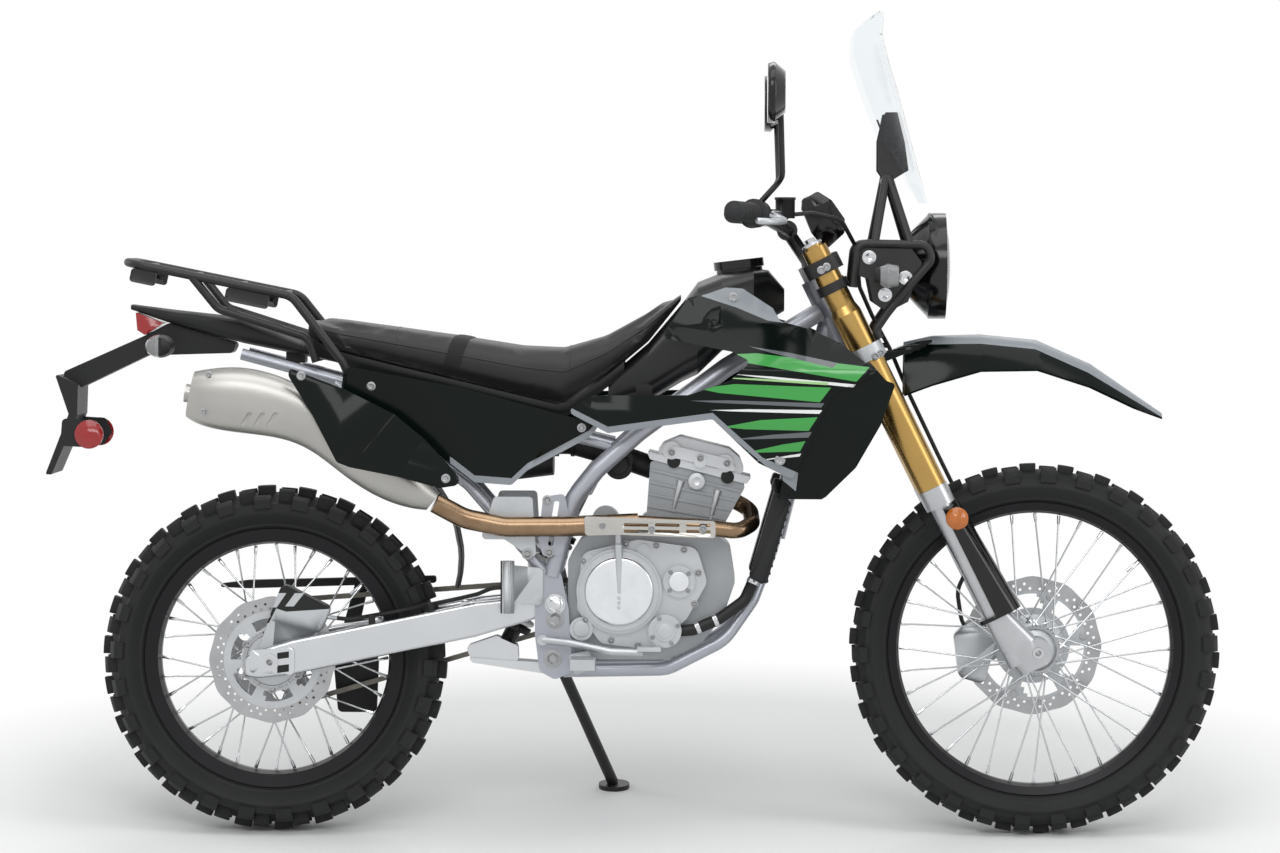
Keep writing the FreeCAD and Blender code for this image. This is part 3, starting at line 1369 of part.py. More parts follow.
def front_caliper():
    disc_y = dim.front_disc_side - dim.disc_thickness / 2
    carrier_face = dim.fork_spread - 24 - dim.running_gap
    slot = dim.disc_thickness / 2 + dim.caliper_clearance
    body = plate([front_axle + Vector(-150, 0, 20), front_axle + Vector(-118, 0, 52),
                  front_axle + Vector(-66, 0, 20), front_axle + Vector(-92, 0, -74),
                  front_axle + Vector(-140, 0, -60)], disc_y - 20, carrier_face, 14)
    gap = cross_rod(front_axle, disc_y - slot, disc_y + slot, dim.front_disc_radius + 6)
    lug = plate([front_axle + Vector(-108, 0, 30), front_axle + Vector(-60, 0, 52), front_axle + Vector(-34, 0, 30),
                 front_axle + Vector(-40, 0, -10), front_axle + Vector(-90, 0, -40)], disc_y + 12, carrier_face, 8)
    keep("front_caliper", joined([body.cut(gap), lug]))


front_caliper()


def handlebar():
    half = dim.handlebar_half_width
    centre = spot(head.x - 49, head.z + 76)
    right = [spot(head.x - 150, head.z + 110, -half), spot(head.x - 100, head.z + 106, -half + 150),
             spot(head.x - 55, head.z + 80, -118), centre + Vector(0, -58, 0)]
    left = [Vector(point.x, -point.y, point.z) for point in reversed(right)]
    keep("handlebar", tube(right + left, dim.handlebar_radius, 45))


handlebar()


def hand_controls():
    shapes = []
    half = dim.handlebar_half_width
    for side in (1, -1):
        end = spot(head.x - 150, head.z + 110, half * side)
        inner = spot(head.x - 100, head.z + 106, (half - 150) * side)
        along = unit(inner - end)
        gap = dim.handlebar_radius + dim.running_gap
        grip = rod(end - along * 6, end + along * 118, dim.grip_radius)
        flange = rod(end + along * 112, end + along * 118, 26.0)
        housing = rod(end + along * 119, end + along * 146, 24.0)
        lever = tube([end + along * 132 + Vector(25.4, 0, -2), end + along * 120 + Vector(58, 0, -14),
                      end + along * 60 + Vector(58, 0, -18), end + along * 8 + Vector(40, 0, -18)], 6, 25)
        parts = [grip, flange, housing, lever]
        if side < 0:
            parts.append(rod(end + along * 138 + Vector(20, 0, -2), end + along * 184 + Vector(36, 0, -2), 10))
            parts.append(rod(end + along * 178 + Vector(38, 0, -8), end + along * 178 + Vector(38, 0, 26), 18))
            parts.append(rod(end + along * 178 + Vector(38, 0, 26), end + along * 178 + Vector(38, 0, 31), 19.5))
        shapes.append(joined(parts).cut(rod(end, end + along * 300, gap)))
    keep("hand_controls", Part.makeCompound(shapes))


hand_controls()


def front_brake_hose():
    route = [
        at_head(-50, 104, -226), at_head(-6, 108, -196), at_head(50, 96, -140), at_head(80, 44, -78),
        at_head(88, -30, -10), on_fork(64, -131, 52), on_fork(67, -200, 68), on_fork(62, -285, 72),
        on_fork(60, -420, 73), on_fork(60, -520, 73), on_fork(57, -590, 70), on_fork(20, -636, 57),
        on_fork(-22, -668, 54), front_axle + Vector(-136, 0, 50), front_axle + Vector(-124, 0, 26),
    ]
    route[-2].y = 50.0
    route[-1].y = 50.0
    hose = tube(route, dim.brake_hose_radius, 50)
    clip = rod(on_fork(52, -184, 66), on_fork(67, -192, 66), 5)
    keep("front_brake_hose", seated(joined([hose, clip]), "hand_controls", "fork_clamps", "front_caliper"))


front_brake_hose()


def mirrors():
    shapes = []
    for side in (1, -1):
        stem = tube([spot(head.x - 104, head.z + 124, 272 * side), spot(head.x - 68, head.z + 164, 274 * side),
                     spot(head.x - 62, head.z + 176, 300 * side), spot(head.x - 66, head.z + 290, 340 * side)],
                    5.5, 20)
        glass = Part.makeLoft([
            oval(spot(head.x - 90, head.z + 325, 352 * side), side_axis, Vector(0, 0, 1), 82, 54, 2.6),
            oval(spot(head.x - 78, head.z + 326, 352 * side), side_axis, Vector(0, 0, 1), 84, 56, 2.6),
            oval(spot(head.x - 58, head.z + 327, 352 * side), side_axis, Vector(0, 0, 1), 58, 38, 2.3),
        ], True, True)
        shapes.append(joined([stem, glass]))
    keep("mirrors", seated(Part.makeCompound(shapes), "hand_controls"))


mirrors()


def instrument_panel():
    outline = [at_head(-22, 115), at_head(-22, 135), at_head(-6, 142), at_head(7, 150), at_head(34, 133),
               at_head(60, 96), at_head(55, 86), at_head(60, 73), at_head(24, 40), at_head(-2, 70)]
    posts = [rod(at_head(14, 14, 34 * side), at_head(24, 62, 34 * side), 8) for side in (1, -1)]
    keep("instrument_panel", seated(joined([plate(outline, -58, 58, 8)] + posts), "fork_clamps"))


instrument_panel()


def headlamp():
    centre = at_head(214, 10)
    section = [
        Vector(-40, 0, 0), Vector(-40, 0, 52), Vector(-22, 0, 72), Vector(0, 0, dim.headlamp_radius - 6),
        Vector(4, 0, dim.headlamp_radius), Vector(36, 0, dim.headlamp_radius), Vector(36, 0, dim.headlamp_radius - 8),
        Vector(24, 0, dim.headlamp_radius - 10), Vector(24, 0, 0),
    ]
    outline = Part.makePolygon([point + centre for point in section] + [section[0] + centre])
    shell = Part.Face(outline).revolve(centre, Vector(1, 0, 0), 360)
    keep("headlamp", shell)
    radius = dim.headlamp_radius - 10.4
    bulge = 13.0
    dome_radius = (radius * radius + bulge * bulge) / (2 * bulge)
    blank = rod(centre + Vector(24.3, 0, 0), centre + Vector(60, 0, 0), radius)
    dome = Part.makeSphere(dome_radius)
    dome.rotate(Vector(0, 0, 0), Vector(0, 0, 1), 180)
    dome.translate(centre + Vector(47 - dome_radius, 0, 0))
    lens = blank.common(dome)
    keep("headlamp_lens", lens)


headlamp()


def windscreen():
    levels = [
        (at_head(217, 128), 26, 13), (at_head(200, 188), 88, 30), (at_head(186, 240), 138, 52),
        (at_head(161, 334), 165, 64), (at_head(141, 400), 160, 66), (at_head(130, 446), 128, 54),
        (at_head(132, 477), 84, 24), (at_head(133, 488), 40, 8),
    ]
    back = Vector(-dim.screen_thickness, 0, 0)
    wires = []
    for middle, half, sweep in levels:
        ends = [middle + Vector(-sweep, half * side, 0) for side in (-1, 1)]
        wires.append(Part.Wire([
            Part.Arc(ends[0], middle, ends[1]).toShape(),
            Part.LineSegment(ends[1], ends[1] + back).toShape(),
            Part.Arc(ends[1] + back, middle + back, ends[0] + back).toShape(),
            Part.LineSegment(ends[0] + back, ends[0]).toShape(),
        ]))
    keep("windscreen", Part.makeLoft(wires, True, True))


windscreen()


def lamp_bracket():
    pieces = []
    clamp_top = -dim.clamp_gap + dim.clamp_thickness / 2 + dim.running_gap
    for side in (1, -1):
        y = 118 * side
        pieces.append(tube([at_head(73, -30, y), at_head(81, 52, y), at_head(210, 50, y), at_head(221, 22, y),
                            at_head(178, -27, y), at_head(137, -78, y), on_fork(54, -150, 119 * side),
                            on_fork(54, clamp_top, 119 * side)], 8, 20))
        pieces.append(rod(at_head(113, 52, y), at_head(136, 178, 66 * side), 8))
        pieces.append(rod(at_head(180, 51, y), at_head(140, 178, 66 * side), 8))
        fork_y = dim.fork_spread * side
        band = ring(on_fork(dim.fork_offset, -52, fork_y), on_fork(dim.fork_offset, -34, fork_y), 31.0,
                    dim.fork_upper_radius + dim.running_gap)
        pieces.append(band)
        side_plate = plate([at_head(133, 298), at_head(154.6, 298), at_head(169.1, 240), at_head(176.8, 189),
                            at_head(138, 165), at_head(121, 190), at_head(121, 246)],
                           min(66 * side, 71 * side), min(66 * side, 71 * side) + 5, 2)
        pieces.append(side_plate)
    pieces.append(cross_rod(at_head(113, 52), -118, 118, 8))
    pieces.append(cross_rod(at_head(134.5, 170), -72, 72, 7))
    pieces.append(plate([at_head(133, -36), at_head(173.7, -36), at_head(173.7, 24), at_head(133, 24)], -118, 118, 6))
    whole = joined(pieces)
    for side in (1, -1):
        y = dim.fork_spread * side
        whole = whole.cut(rod(on_fork(dim.fork_offset, -80, y), on_fork(dim.fork_offset, 0, y),
                              dim.fork_upper_radius + dim.running_gap))
    keep("lamp_bracket", whole)


lamp_bracket()


def front_signals():
    shapes = []
    for side in (1, -1):
        stalk = rod(at_head(146, -8, 118.3 * side), at_head(146, -8, 155 * side), 7)
        bulb = Part.makeLoft([
            oval(at_head(112, -8, 172 * side), side_axis, Vector(0, 0, 1), 20, 13, 2.5),
            oval(at_head(136, -8, 172 * side), side_axis, Vector(0, 0, 1), 31, 23, 2.5),
            oval(at_head(156, -8, 172 * side), side_axis, Vector(0, 0, 1), 26, 19, 2.5),
        ], True, True)
        shapes.append(joined([stalk, bulb]))
    keep("front_signals", Part.makeCompound(shapes))


front_signals()


doc.recompute()

failed = [item.Name for item in doc.Objects if "Invalid" in item.State or "Error" in item.State]
if failed:
    raise RuntimeError("objects that failed to build: " + ", ".join(failed))

for item in subparts:
    if item.Shape.isNull() or not item.Shape.isValid():
        raise RuntimeError("no valid shape: " + item.Label)

os.makedirs("parts", exist_ok=True)
for item in subparts:
    item.Shape.exportStep(os.path.join("parts", item.Label + ".step"))
print("wrote", len(subparts), "sub-parts")
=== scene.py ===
import math

import bmesh
import bpy
from mathutils import Matrix, Vector
from mathutils.bvhtree import BVHTree


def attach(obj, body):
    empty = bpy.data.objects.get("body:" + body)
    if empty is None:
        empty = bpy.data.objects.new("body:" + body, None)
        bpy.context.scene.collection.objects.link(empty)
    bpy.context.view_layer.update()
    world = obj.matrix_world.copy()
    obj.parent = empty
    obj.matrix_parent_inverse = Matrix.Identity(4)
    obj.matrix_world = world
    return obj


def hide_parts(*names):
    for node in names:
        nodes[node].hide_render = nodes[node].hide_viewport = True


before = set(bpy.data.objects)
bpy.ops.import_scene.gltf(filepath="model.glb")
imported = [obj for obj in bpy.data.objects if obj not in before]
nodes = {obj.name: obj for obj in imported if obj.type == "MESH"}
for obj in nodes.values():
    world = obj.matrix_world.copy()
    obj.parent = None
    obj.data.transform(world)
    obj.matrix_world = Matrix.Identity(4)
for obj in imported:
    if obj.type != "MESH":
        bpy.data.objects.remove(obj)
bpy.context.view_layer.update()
print("frame loaded:", len(nodes), "nodes")

# the bike is laid out upright, X from the rear axle and Z from the ground, and leaned onto its stand
# by one matrix; the layout is in metres, and mm and onFork take millimetres
layout = {"lean": math.radians(10), "crown": 0.060, "shift": (-0.683, -0.235), "rake": math.radians(26.5),
          "head": (1.017, 1.064), "forkOffset": 0.060, "frontTyre": 0.351, "rearTyre": 0.3275}
parked = (Matrix.Translation((*layout["shift"], layout["crown"] * (1 - math.cos(layout["lean"]))))
          @ Matrix.Rotation(-layout["lean"], 4, "X"))
rake = layout["rake"]
forkFront = Vector((math.cos(rake), 0, math.sin(rake)))
forkUp = Vector((-math.sin(rake), 0, math.cos(rake)))
headPoint = Vector((layout["head"][0], 0, layout["head"][1]))
rearAxle = Vector((0, 0, layout["rearTyre"]))
axleDrop = (layout["head"][1] + layout["forkOffset"] * math.sin(rake) - layout["frontTyre"]) / math.cos(rake)
frontAxle = headPoint + forkFront * layout["forkOffset"] - forkUp * axleDrop


def mm(x, z, y=0.0):
    return Vector((x, y, z)) * 0.001


def onFork(forward, along, y=0.0):
    return headPoint + forkFront * (forward * 0.001) + forkUp * (along * 0.001) + Vector((0, y * 0.001, 0))


def newObject(name, data):
    made = bpy.data.objects.new(name, data)
    bpy.context.scene.collection.objects.link(made)
    return made


# nodes of a material or the world

def addNode(owner, kind, **settings):
    node = owner.node_tree.nodes.new(kind)
    for key, value in settings.items():
        if hasattr(node, key) and key not in node.inputs:
            setattr(node, key, value)
        else:
            node.inputs[key].default_value = value
    return node


def connect(owner, source, output, sink, inputName):
    owner.node_tree.links.new(source.outputs[output], sink.inputs[inputName])


# camera on the photographed side, square to the leaning bike
view = {"eye": mm(843, 1105, -9500), "target": mm(691, 768), "up": Vector((-0.0033, 0, 1)), "sensor": 36,
        "lens": 141.1, "clipEnd": 60}
viewLine = (view["target"] - view["eye"]).normalized()
rightLine = viewLine.cross(view["up"]).normalized()
cameraTurn = Matrix((rightLine, rightLine.cross(viewLine), -viewLine)).transposed().to_4x4()
cameraData = bpy.data.cameras.new("photo_camera")
cameraData.sensor_width = view["sensor"]
cameraData.lens = view["lens"]
cameraData.clip_end = view["clipEnd"]
camera = newObject("photo_camera", cameraData)
camera.matrix_world = parked @ (Matrix.Translation(view["eye"]) @ cameraTurn)
bpy.context.scene.camera = camera

# the world lights the object at the low level, and is white to the camera, in gloss and through glass
studio = {"lightLevel": 0.42, "whiteLevel": 1.0}
bpy.context.scene.view_settings.view_transform = "Standard"
world = bpy.data.worlds.new("studio")
bpy.context.scene.world = world
world.use_nodes = True
background = world.node_tree.nodes["Background"]
background.inputs["Color"].default_value = (1, 1, 1, 1)
lightPath = addNode(world, "ShaderNodeLightPath")
seen = addNode(world, "ShaderNodeMath", operation="MAXIMUM")
seenThrough = addNode(world, "ShaderNodeMath", operation="MAXIMUM")
level = addNode(world, "ShaderNodeMapRange", **{"To Min": studio["lightLevel"], "To Max": studio["whiteLevel"]})
connect(world, lightPath, "Is Camera Ray", seen, 0)
connect(world, lightPath, "Is Glossy Ray", seen, 1)
connect(world, seen, 0, seenThrough, 0)
connect(world, lightPath, "Is Transmission Ray", seenThrough, 1)
connect(world, seenThrough, 0, level, "Value")
connect(world, level, "Result", background, "Strength")


def softbox(name, place, aim, size, watts):
    light = bpy.data.lights.new(name, "AREA")
    light.shape = "RECTANGLE"
    light.size, light.size_y = size
    light.energy = watts
    lamp = newObject(name, light)
    lamp.location = place
    lamp.rotation_euler = (Vector(aim) - Vector(place)).to_track_quat("-Z", "Y").to_euler()


softbox("overhead_softbox", (0.1, -0.6, 4.2), (0, 0, 0.6), (4.5, 2.4), 62)
softbox("camera_side_softbox", (-0.4, -3.9, 3.9), (0, 0, 0.6), (4.0, 1.2), 66)
softbox("front_softbox", (4.2, -1.6, 2.2), (0.4, 0, 0.7), (1.2, 2.4), 30)
softbox("rear_softbox", (-4.2, 1.0, 2.2), (-0.4, 0, 0.7), (1.2, 2.4), 26)
softbox("far_side_softbox", (0.4, 4.2, 3.6), (0, 0, 0.6), (4.0, 1.2), 40)


# materials

def linearChannel(value):
    return value / 12.92 if value <= 0.04045 else ((value + 0.055) / 1.055) ** 2.4


def paint(code):
    return tuple(linearChannel(int(code[i:i + 2], 16) / 255) for i in (0, 2, 4)) + (1.0,)


def grain(material, shader, sizeMm, depthMm, colourA, colourB, roughLow, roughHigh, patchMm, texture="NOISE"):
    # fine grain for the bump, broad patches for colour, their mix for roughness
    coords = addNode(material, "ShaderNodeTexCoord")
    patch = addNode(material, "ShaderNodeTexNoise", Scale=1000 / patchMm, Detail=4.0, Roughness=0.6)
    if texture == "VORONOI":
        height = addNode(material, "ShaderNodeTexVoronoi", Scale=1000 / sizeMm, feature="DISTANCE_TO_EDGE")
    else:
        height = addNode(material, "ShaderNodeTexNoise", Scale=1000 / sizeMm, Detail=3.0)
    connect(material, coords, "Object", height, "Vector")
    connect(material, coords, "Object", patch, "Vector")
    bump = addNode(material, "ShaderNodeBump", Strength=0.6, Distance=depthMm / 1000)
    connect(material, height, "Distance" if texture == "VORONOI" else "Fac", bump, "Height")
    connect(material, bump, "Normal", shader, "Normal")
    tint = addNode(material, "ShaderNodeMix", data_type="RGBA")
    tint.inputs[6].default_value = paint(colourA)
    tint.inputs[7].default_value = paint(colourB)
    connect(material, patch, "Fac", tint, 0)
    connect(material, tint, 2, shader, "Base Color")
    spread = addNode(material, "ShaderNodeMapRange", **{"To Min": roughLow, "To Max": roughHigh})
    connect(material, patch, "Fac", spread, "Value")
    connect(material, spread, "Result", shader, "Roughness")


def newMaterial(name, colour, rough, surface, metal=0.0, coat=0.0, transmission=0.0, ior=1.5, sheen=0.0,
                specular=0.5):
    # surface: grain size and depth in mm, two colours, least and most roughness, patch size in mm
    material = bpy.data.materials.new(name)
    material.use_nodes = True
    shader = material.node_tree.nodes["Principled BSDF"]
    for socket, value in {"Base Color": paint(colour), "Roughness": rough, "Metallic": metal, "Coat Weight": coat,
                          "Coat Roughness": 0.04, "Transmission Weight": transmission, "IOR": ior,
                          "Sheen Weight": sheen, "Specular IOR Level": specular}.items():
        shader.inputs[socket].default_value = value
    material.diffuse_color = paint(colour)
    grain(material, shader, *surface)
    return material


# grain under 2 mm is drawn coarser than the real one, so that it shows

# moulded tyre rubber: a dull black with uneven, dusty patches
tyreRubber = newMaterial("moulded_tyre_rubber", "151617", 0.7, (1.5, 0.25, "111213", "1b1c1d", 0.55, 0.8, 60),
                         specular=0.35)
# anodised aluminium rims: a satin black with a metal edge to its light
rimBlack = newMaterial("black_anodised_rim_aluminium", "141416", 0.35,
                       (2.0, 0.05, "0f0f11", "1c1c1f", 0.28, 0.42, 90), metal=0.6)
# sand-cast aluminium, on the hubs, calipers and levers: a pale, slightly rough grey
castAlloy = newMaterial("sand_cast_aluminium", "b7babd", 0.42, (1.2, 0.12, "a9adb1", "c6c9cb", 0.36, 0.52, 70),
                        metal=0.85)
# painted die casting, on the crankcase: an even mid grey with a soft metal sheen, partly painted shade for recesses
engineGreyAndPaintedShade = newMaterial("die_cast_engine_grey_and_painted_shade", "9b9ea1", 0.42, (1.4, 0.12, "8d9194", "a8abae", 0.36, 0.48, 60),
                          metal=0.6)
# bare silver casting, on the head and barrel: paler and a little grainier than the case
headAlloy = newMaterial("silver_cast_cylinder", "c9ccce", 0.38, (1.6, 0.18, "bcbfc2", "d4d6d8", 0.32, 0.46, 60),
                        metal=0.75)
# painted engine covers: a light silver, smoother than the case behind them
coverPaint = newMaterial("light_silver_painted_cover", "bcbfc2", 0.36, (1.2, 0.08, "b0b3b6", "c8cbce", 0.3, 0.42, 60),
                         metal=0.65)
# enamelled steel frame tubes: a cool silver with a thin clear gloss
frameEnamel = newMaterial("silver_enamel_steel_tube", "a5a8b0", 0.38, (2.5, 0.04, "9a9da6", "b0b3bb", 0.3, 0.42, 120),
                          metal=0.5, coat=0.3)
# polished extrusion, on the swingarm and linkage: a bright, nearly white metal
swingAlloy = newMaterial("polished_extruded_swingarm", "c9cbcd", 0.24,
                         (1.0, 0.02, "bfc2c5", "d3d5d7", 0.18, 0.32, 200), metal=1.0)
# bright plated steel, on the spokes, axles and large bolts: small sharp highlights
platedSteel = newMaterial("bright_plated_steel", "c8cacc", 0.2, (1.0, 0.01, "bdbfc2", "d2d4d6", 0.14, 0.26, 60),
                          metal=1.0)
# zinc-plated fasteners: a darker grey that sets the bolt heads off their seats
zincBolt = newMaterial("zinc_plated_fastener", "9b9c9d", 0.34, (0.8, 0.03, "8b8c8e", "adaeaf", 0.28, 0.42, 20),
                       metal=0.95)
# black-coated steel, on the rack, bars and stand: a satin black with a fine tooth
blackSteel = newMaterial("black_coated_steel", "111112", 0.42, (1.2, 0.06, "0d0d0e", "171718", 0.36, 0.52, 50),
                         specular=0.45)
# gold-anodised fork uppers: a warm metal with a long, soft highlight
forkGold = newMaterial("gold_anodised_fork_tube", "b08f52", 0.3, (1.0, 0.02, "a3824a", "bd9c5f", 0.22, 0.34, 120),
                       metal=1.0)
# ground and cast fork legs: a light grey metal, smoother than the hubs
forkCast = newMaterial("ground_and_cast_fork_leg", "b2b4b6", 0.3, (1.4, 0.04, "a6a8ab", "c0c2c4", 0.24, 0.38, 60),
                       metal=0.95)
# gloss-moulded panels: nearly black with a green cast, and sharp but faint reflections
glossPanel = newMaterial("gloss_moulded_dark_green_panel", "08110d", 0.12,
                         (30.0, 0.02, "060d0a", "09130f", 0.08, 0.15, 260), specular=0.16)
# moulded grey trims and the fender's top: a plain cool grey, half matt
greyPlastic = newMaterial("moulded_grey_plastic", "868c92", 0.34, (1.0, 0.05, "80868c", "8f959b", 0.28, 0.4, 120))
# textured black plastic, on the tail, guards and intake: matt, with a fine grain
blackPlastic = newMaterial("textured_black_plastic", "101113", 0.5, (0.8, 0.1, "0e0f10", "151617", 0.42, 0.58, 90),
                           specular=0.35)
# gloss black plastic, on the lamp shell, mirrors and dash: a mirror-like black
glossBlack = newMaterial("gloss_black_plastic", "0b0b0d", 0.14, (25.0, 0.02, "0a0a0b", "101012", 0.1, 0.2, 120),
                         specular=0.4)
# painted steel tank: a satin black, flatter than the panels beside it
tankPaint = newMaterial("satin_black_tank_paint", "101112", 0.32, (20.0, 0.02, "0e0f10", "141516", 0.26, 0.36, 200),
                        specular=0.4)
# black-oxide radiator cores: a rough, light-drinking black
radiatorBlack = newMaterial("black_radiator_core", "121315", 0.5, (1.8, 0.3, "0e0f11", "1a1b1d", 0.42, 0.6, 60),
                            metal=0.3)
# coated spring: an off-white with a thin gloss
springWhite = newMaterial("white_coated_spring", "d9dad8", 0.32, (3.0, 0.03, "d2d3d1", "dfe0de", 0.26, 0.38, 60),
                          coat=0.3)
# bead-blasted muffler: a warm, even grey with a wide highlight
mufflerSteel = newMaterial("bead_blasted_muffler_steel", "a9a8a4", 0.38,
                           (1.0, 0.05, "9c9b97", "b4b3af", 0.32, 0.44, 120), metal=0.9)
# stainless sheet, on the heat shield: warmer and brighter than the plated parts
stainless = newMaterial("brushed_stainless_sheet", "b9b7b2", 0.28, (1.2, 0.03, "adaba6", "c6c4bf", 0.22, 0.36, 80),
                        metal=1.0)
# ground brake steel, on the discs and sprockets: a fine, crossed grey
discSteel = newMaterial("ground_brake_disc_steel", "a8a9aa", 0.3, (0.7, 0.04, "9a9b9d", "b4b5b6", 0.24, 0.38, 40),
                        metal=1.0)
# oiled chain steel: a brownish dark metal, patched with grease
chainSteel = newMaterial("oiled_chain_steel", "6d6a64", 0.34, (1.0, 0.05, "55524c", "7d7a73", 0.26, 0.44, 25),
                         metal=0.95)
# moulded grip rubber: a dull charcoal
gripRubber = newMaterial("moulded_grip_rubber", "1a1b1d", 0.7, (1.0, 0.15, "161719", "212224", 0.6, 0.8, 40))
# embossed seat vinyl: a matt black whose small cells break up the light
seatVinyl = newMaterial("embossed_black_seat_vinyl", "0f0f10", 0.5,
                        (2.2, 0.22, "0d0d0e", "151516", 0.42, 0.56, 110, "VORONOI"), sheen=0.1, specular=0.4)
# clear and coloured optics: glass-smooth, the small lenses moulded in cells that glint
clearGlass = newMaterial("clear_polycarbonate", "f4f7f8", 0.03, (50.0, 0.0, "f2f5f6", "f8fafb", 0.02, 0.05, 160),
                         transmission=1.0, ior=1.45)
screenGlass = newMaterial("clear_windscreen_acrylic", "f6f9fa", 0.02,
                          (80.0, 0.0, "f4f7f9", "fafcfd", 0.01, 0.04, 300), transmission=1.0, ior=1.1)
redLens = newMaterial("red_lens_plastic", "b3151a", 0.12, (3.0, 0.25, "a01016", "c01d20", 0.08, 0.16, 20, "VORONOI"),
                      transmission=0.25, coat=0.3)
amberLens = newMaterial("amber_lens_plastic", "d9761a", 0.12,
                        (3.0, 0.25, "cf6a12", "e2842a", 0.08, 0.16, 20, "VORONOI"), transmission=0.25, coat=0.3)
paleLens = newMaterial("pale_signal_lens", "c9cbcc", 0.1, (3.0, 0.25, "bfc1c3", "d3d5d6", 0.06, 0.14, 20, "VORONOI"),
                       transmission=0.6)
mirrorGlass = newMaterial("silvered_mirror_glass", "d8dcdf", 0.03, (60.0, 0.0, "d4d8db", "dce0e3", 0.02, 0.05, 120),
                          metal=1.0)
reflectorSilver = newMaterial("vacuum_plated_reflector", "e2e3e4", 0.08,
                              (9.0, 0.4, "dcddde", "e8e9ea", 0.05, 0.12, 60, "VORONOI"), metal=1.0)
displayGlass = newMaterial("dark_display_glass", "101820", 0.08, (40.0, 0.0, "0d141a", "141d25", 0.05, 0.1, 60),
                           coat=0.8)
bronzePiston = newMaterial("bronze_caliper_piston", "7a4a2a", 0.4, (1.2, 0.05, "6c4024", "875532", 0.34, 0.46, 20),
                           metal=0.7)

# a lid faced on a lathe: fine rings round its middle, bright where the tool ran
clutchLid = {"centre": mm(655, 464, -136), "ringScale": 130.0, "ringDepth": 0.0001}
turnedAluminium = newMaterial("lathe_turned_aluminium", "dcdee1", 0.2, (0.8, 0.01, "d0d3d6", "e6e8ea", 0.16, 0.3, 40),
                              metal=1.0)
turnedNodes = turnedAluminium.node_tree.nodes
middle = addNode(turnedAluminium, "ShaderNodeMapping", Location=tuple(-(parked @ clutchLid["centre"])))
rings = addNode(turnedAluminium, "ShaderNodeTexWave", wave_type="RINGS", rings_direction="SPHERICAL",
                Scale=clutchLid["ringScale"])
cut = addNode(turnedAluminium, "ShaderNodeBump", Strength=0.35, Distance=clutchLid["ringDepth"])
connect(turnedAluminium, turnedNodes["Texture Coordinate"], "Object", middle, "Vector")
connect(turnedAluminium, middle, "Vector", rings, "Vector")
connect(turnedAluminium, rings, "Fac", cut, "Height")
connect(turnedAluminium, cut, "Normal", turnedNodes["Principled BSDF"], "Normal")
# woven strap and extruded hoses: a dull black web, and a rubber with a low sheen
strapWeb = newMaterial("woven_black_strap", "121213", 0.7, (1.6, 0.2, "0f0f10", "1a1a1b", 0.6, 0.8, 25), specular=0.3)
hoseRubber = newMaterial("extruded_hose_rubber", "131314", 0.5, (1.2, 0.08, "101011", "19191a", 0.42, 0.58, 40),
                         specular=0.35)
# printed vinyl on the shrouds: flat, even colours under a thin gloss
vinylColours = {"green": "2f9a3c", "white": "e9ecea", "grey": "5b5f63", "lime": "9fce8a"}
vinyls = {}
for tone, code in vinylColours.items():
    vinyls[tone] = newMaterial(tone + "_printed_vinyl", code, 0.22, (40.0, 0.01, code, code, 0.18, 0.26, 90),
                               coat=0.4)
# heat-tinted header steel: a bronze metal, blotched darker and lighter
headerSteel = newMaterial("heat_tinted_header_steel", "8a7059", 0.26, (1.2, 0.03, "6d5440", "a58d72", 0.18, 0.34, 45),
                          metal=1.0)
print("materials ready:", len(bpy.data.materials))


def dress(material, *names):
    for name in names:
        mesh = nodes[name].data
        mesh.materials.clear()
        mesh.materials.append(material)


dress(rimBlack, "front_rim", "rear_rim")
dress(castAlloy, "front_hub", "rear_hub", "foot_levers", "footpegs")
dress(platedSteel, "front_spokes", "rear_spokes", "front_axle", "rear_axle")
dress(discSteel, "rear_sprocket", "front_sprocket")
dress(frameEnamel, "frame")
dress(swingAlloy, "shock_linkage")
# the crankcase's darker grey is partly painted shade for its recesses behind the covers
dress(engineGreyAndPaintedShade, "crankcase")
dress(headAlloy, "cylinder_head")
dress(coverPaint, "engine_covers")
dress(blackPlastic, "intake", "rear_fender", "plate_bracket", "chain_guards")
dress(headerSteel, "exhaust_pipe")
dress(mufflerSteel, "muffler")
dress(tankPaint, "fuel_tank")
dress(glossBlack, "fuel_cap")
dress(blackSteel, "luggage_rack", "side_stand", "handlebar", "lamp_bracket")
dress(forkGold, "fork_uppers")
dress(forkCast, "fork_lowers")
dress(screenGlass, "windscreen")
dress(clearGlass, "headlamp_lens")
dress(hoseRubber, "front_brake_hose")
print("nodes dressed")


# helpers for pieces, all made upright in metres and leaned at the end

right = Vector((0, -1, 0))
left = Vector((0, 1, 0))
frontward = Vector((1, 0, 0))
weldGap = 0.00002
cutGap = 0.00001


def finishPiece(bm, name, materials, body, replaced=(), angle=35, turnOut=True):
    if turnOut:
        bmesh.ops.recalc_face_normals(bm, faces=bm.faces)
    bmesh.ops.transform(bm, matrix=parked, verts=bm.verts)
    data = bpy.data.meshes.new(name)
    bm.to_mesh(data)
    bm.free()
    data.shade_smooth()
    data.set_sharp_from_angle(angle=math.radians(angle))
    for material in materials if isinstance(materials, list) else [materials]:
        data.materials.append(material)
    piece = newObject(name, data)
    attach(piece, body)
    if replaced:
        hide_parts(*replaced)
    return piece


def edgesOf(made):
    return list({e for v in made["verts"] for e in v.link_edges})


def facesOf(made):
    return list({f for v in made["verts"] for f in v.link_faces})


def follows(edge, axis):
    # 1 where an edge runs along the axis, 0 where it is square to it
    return abs((edge.verts[0].co - edge.verts[1].co).normalized().dot(axis))


def roundEdges(bm, edges, offset, segments=3):
    bmesh.ops.bevel(bm, geom=edges, offset=offset, segments=segments, profile=0.5, affect="EDGES", material=-1)


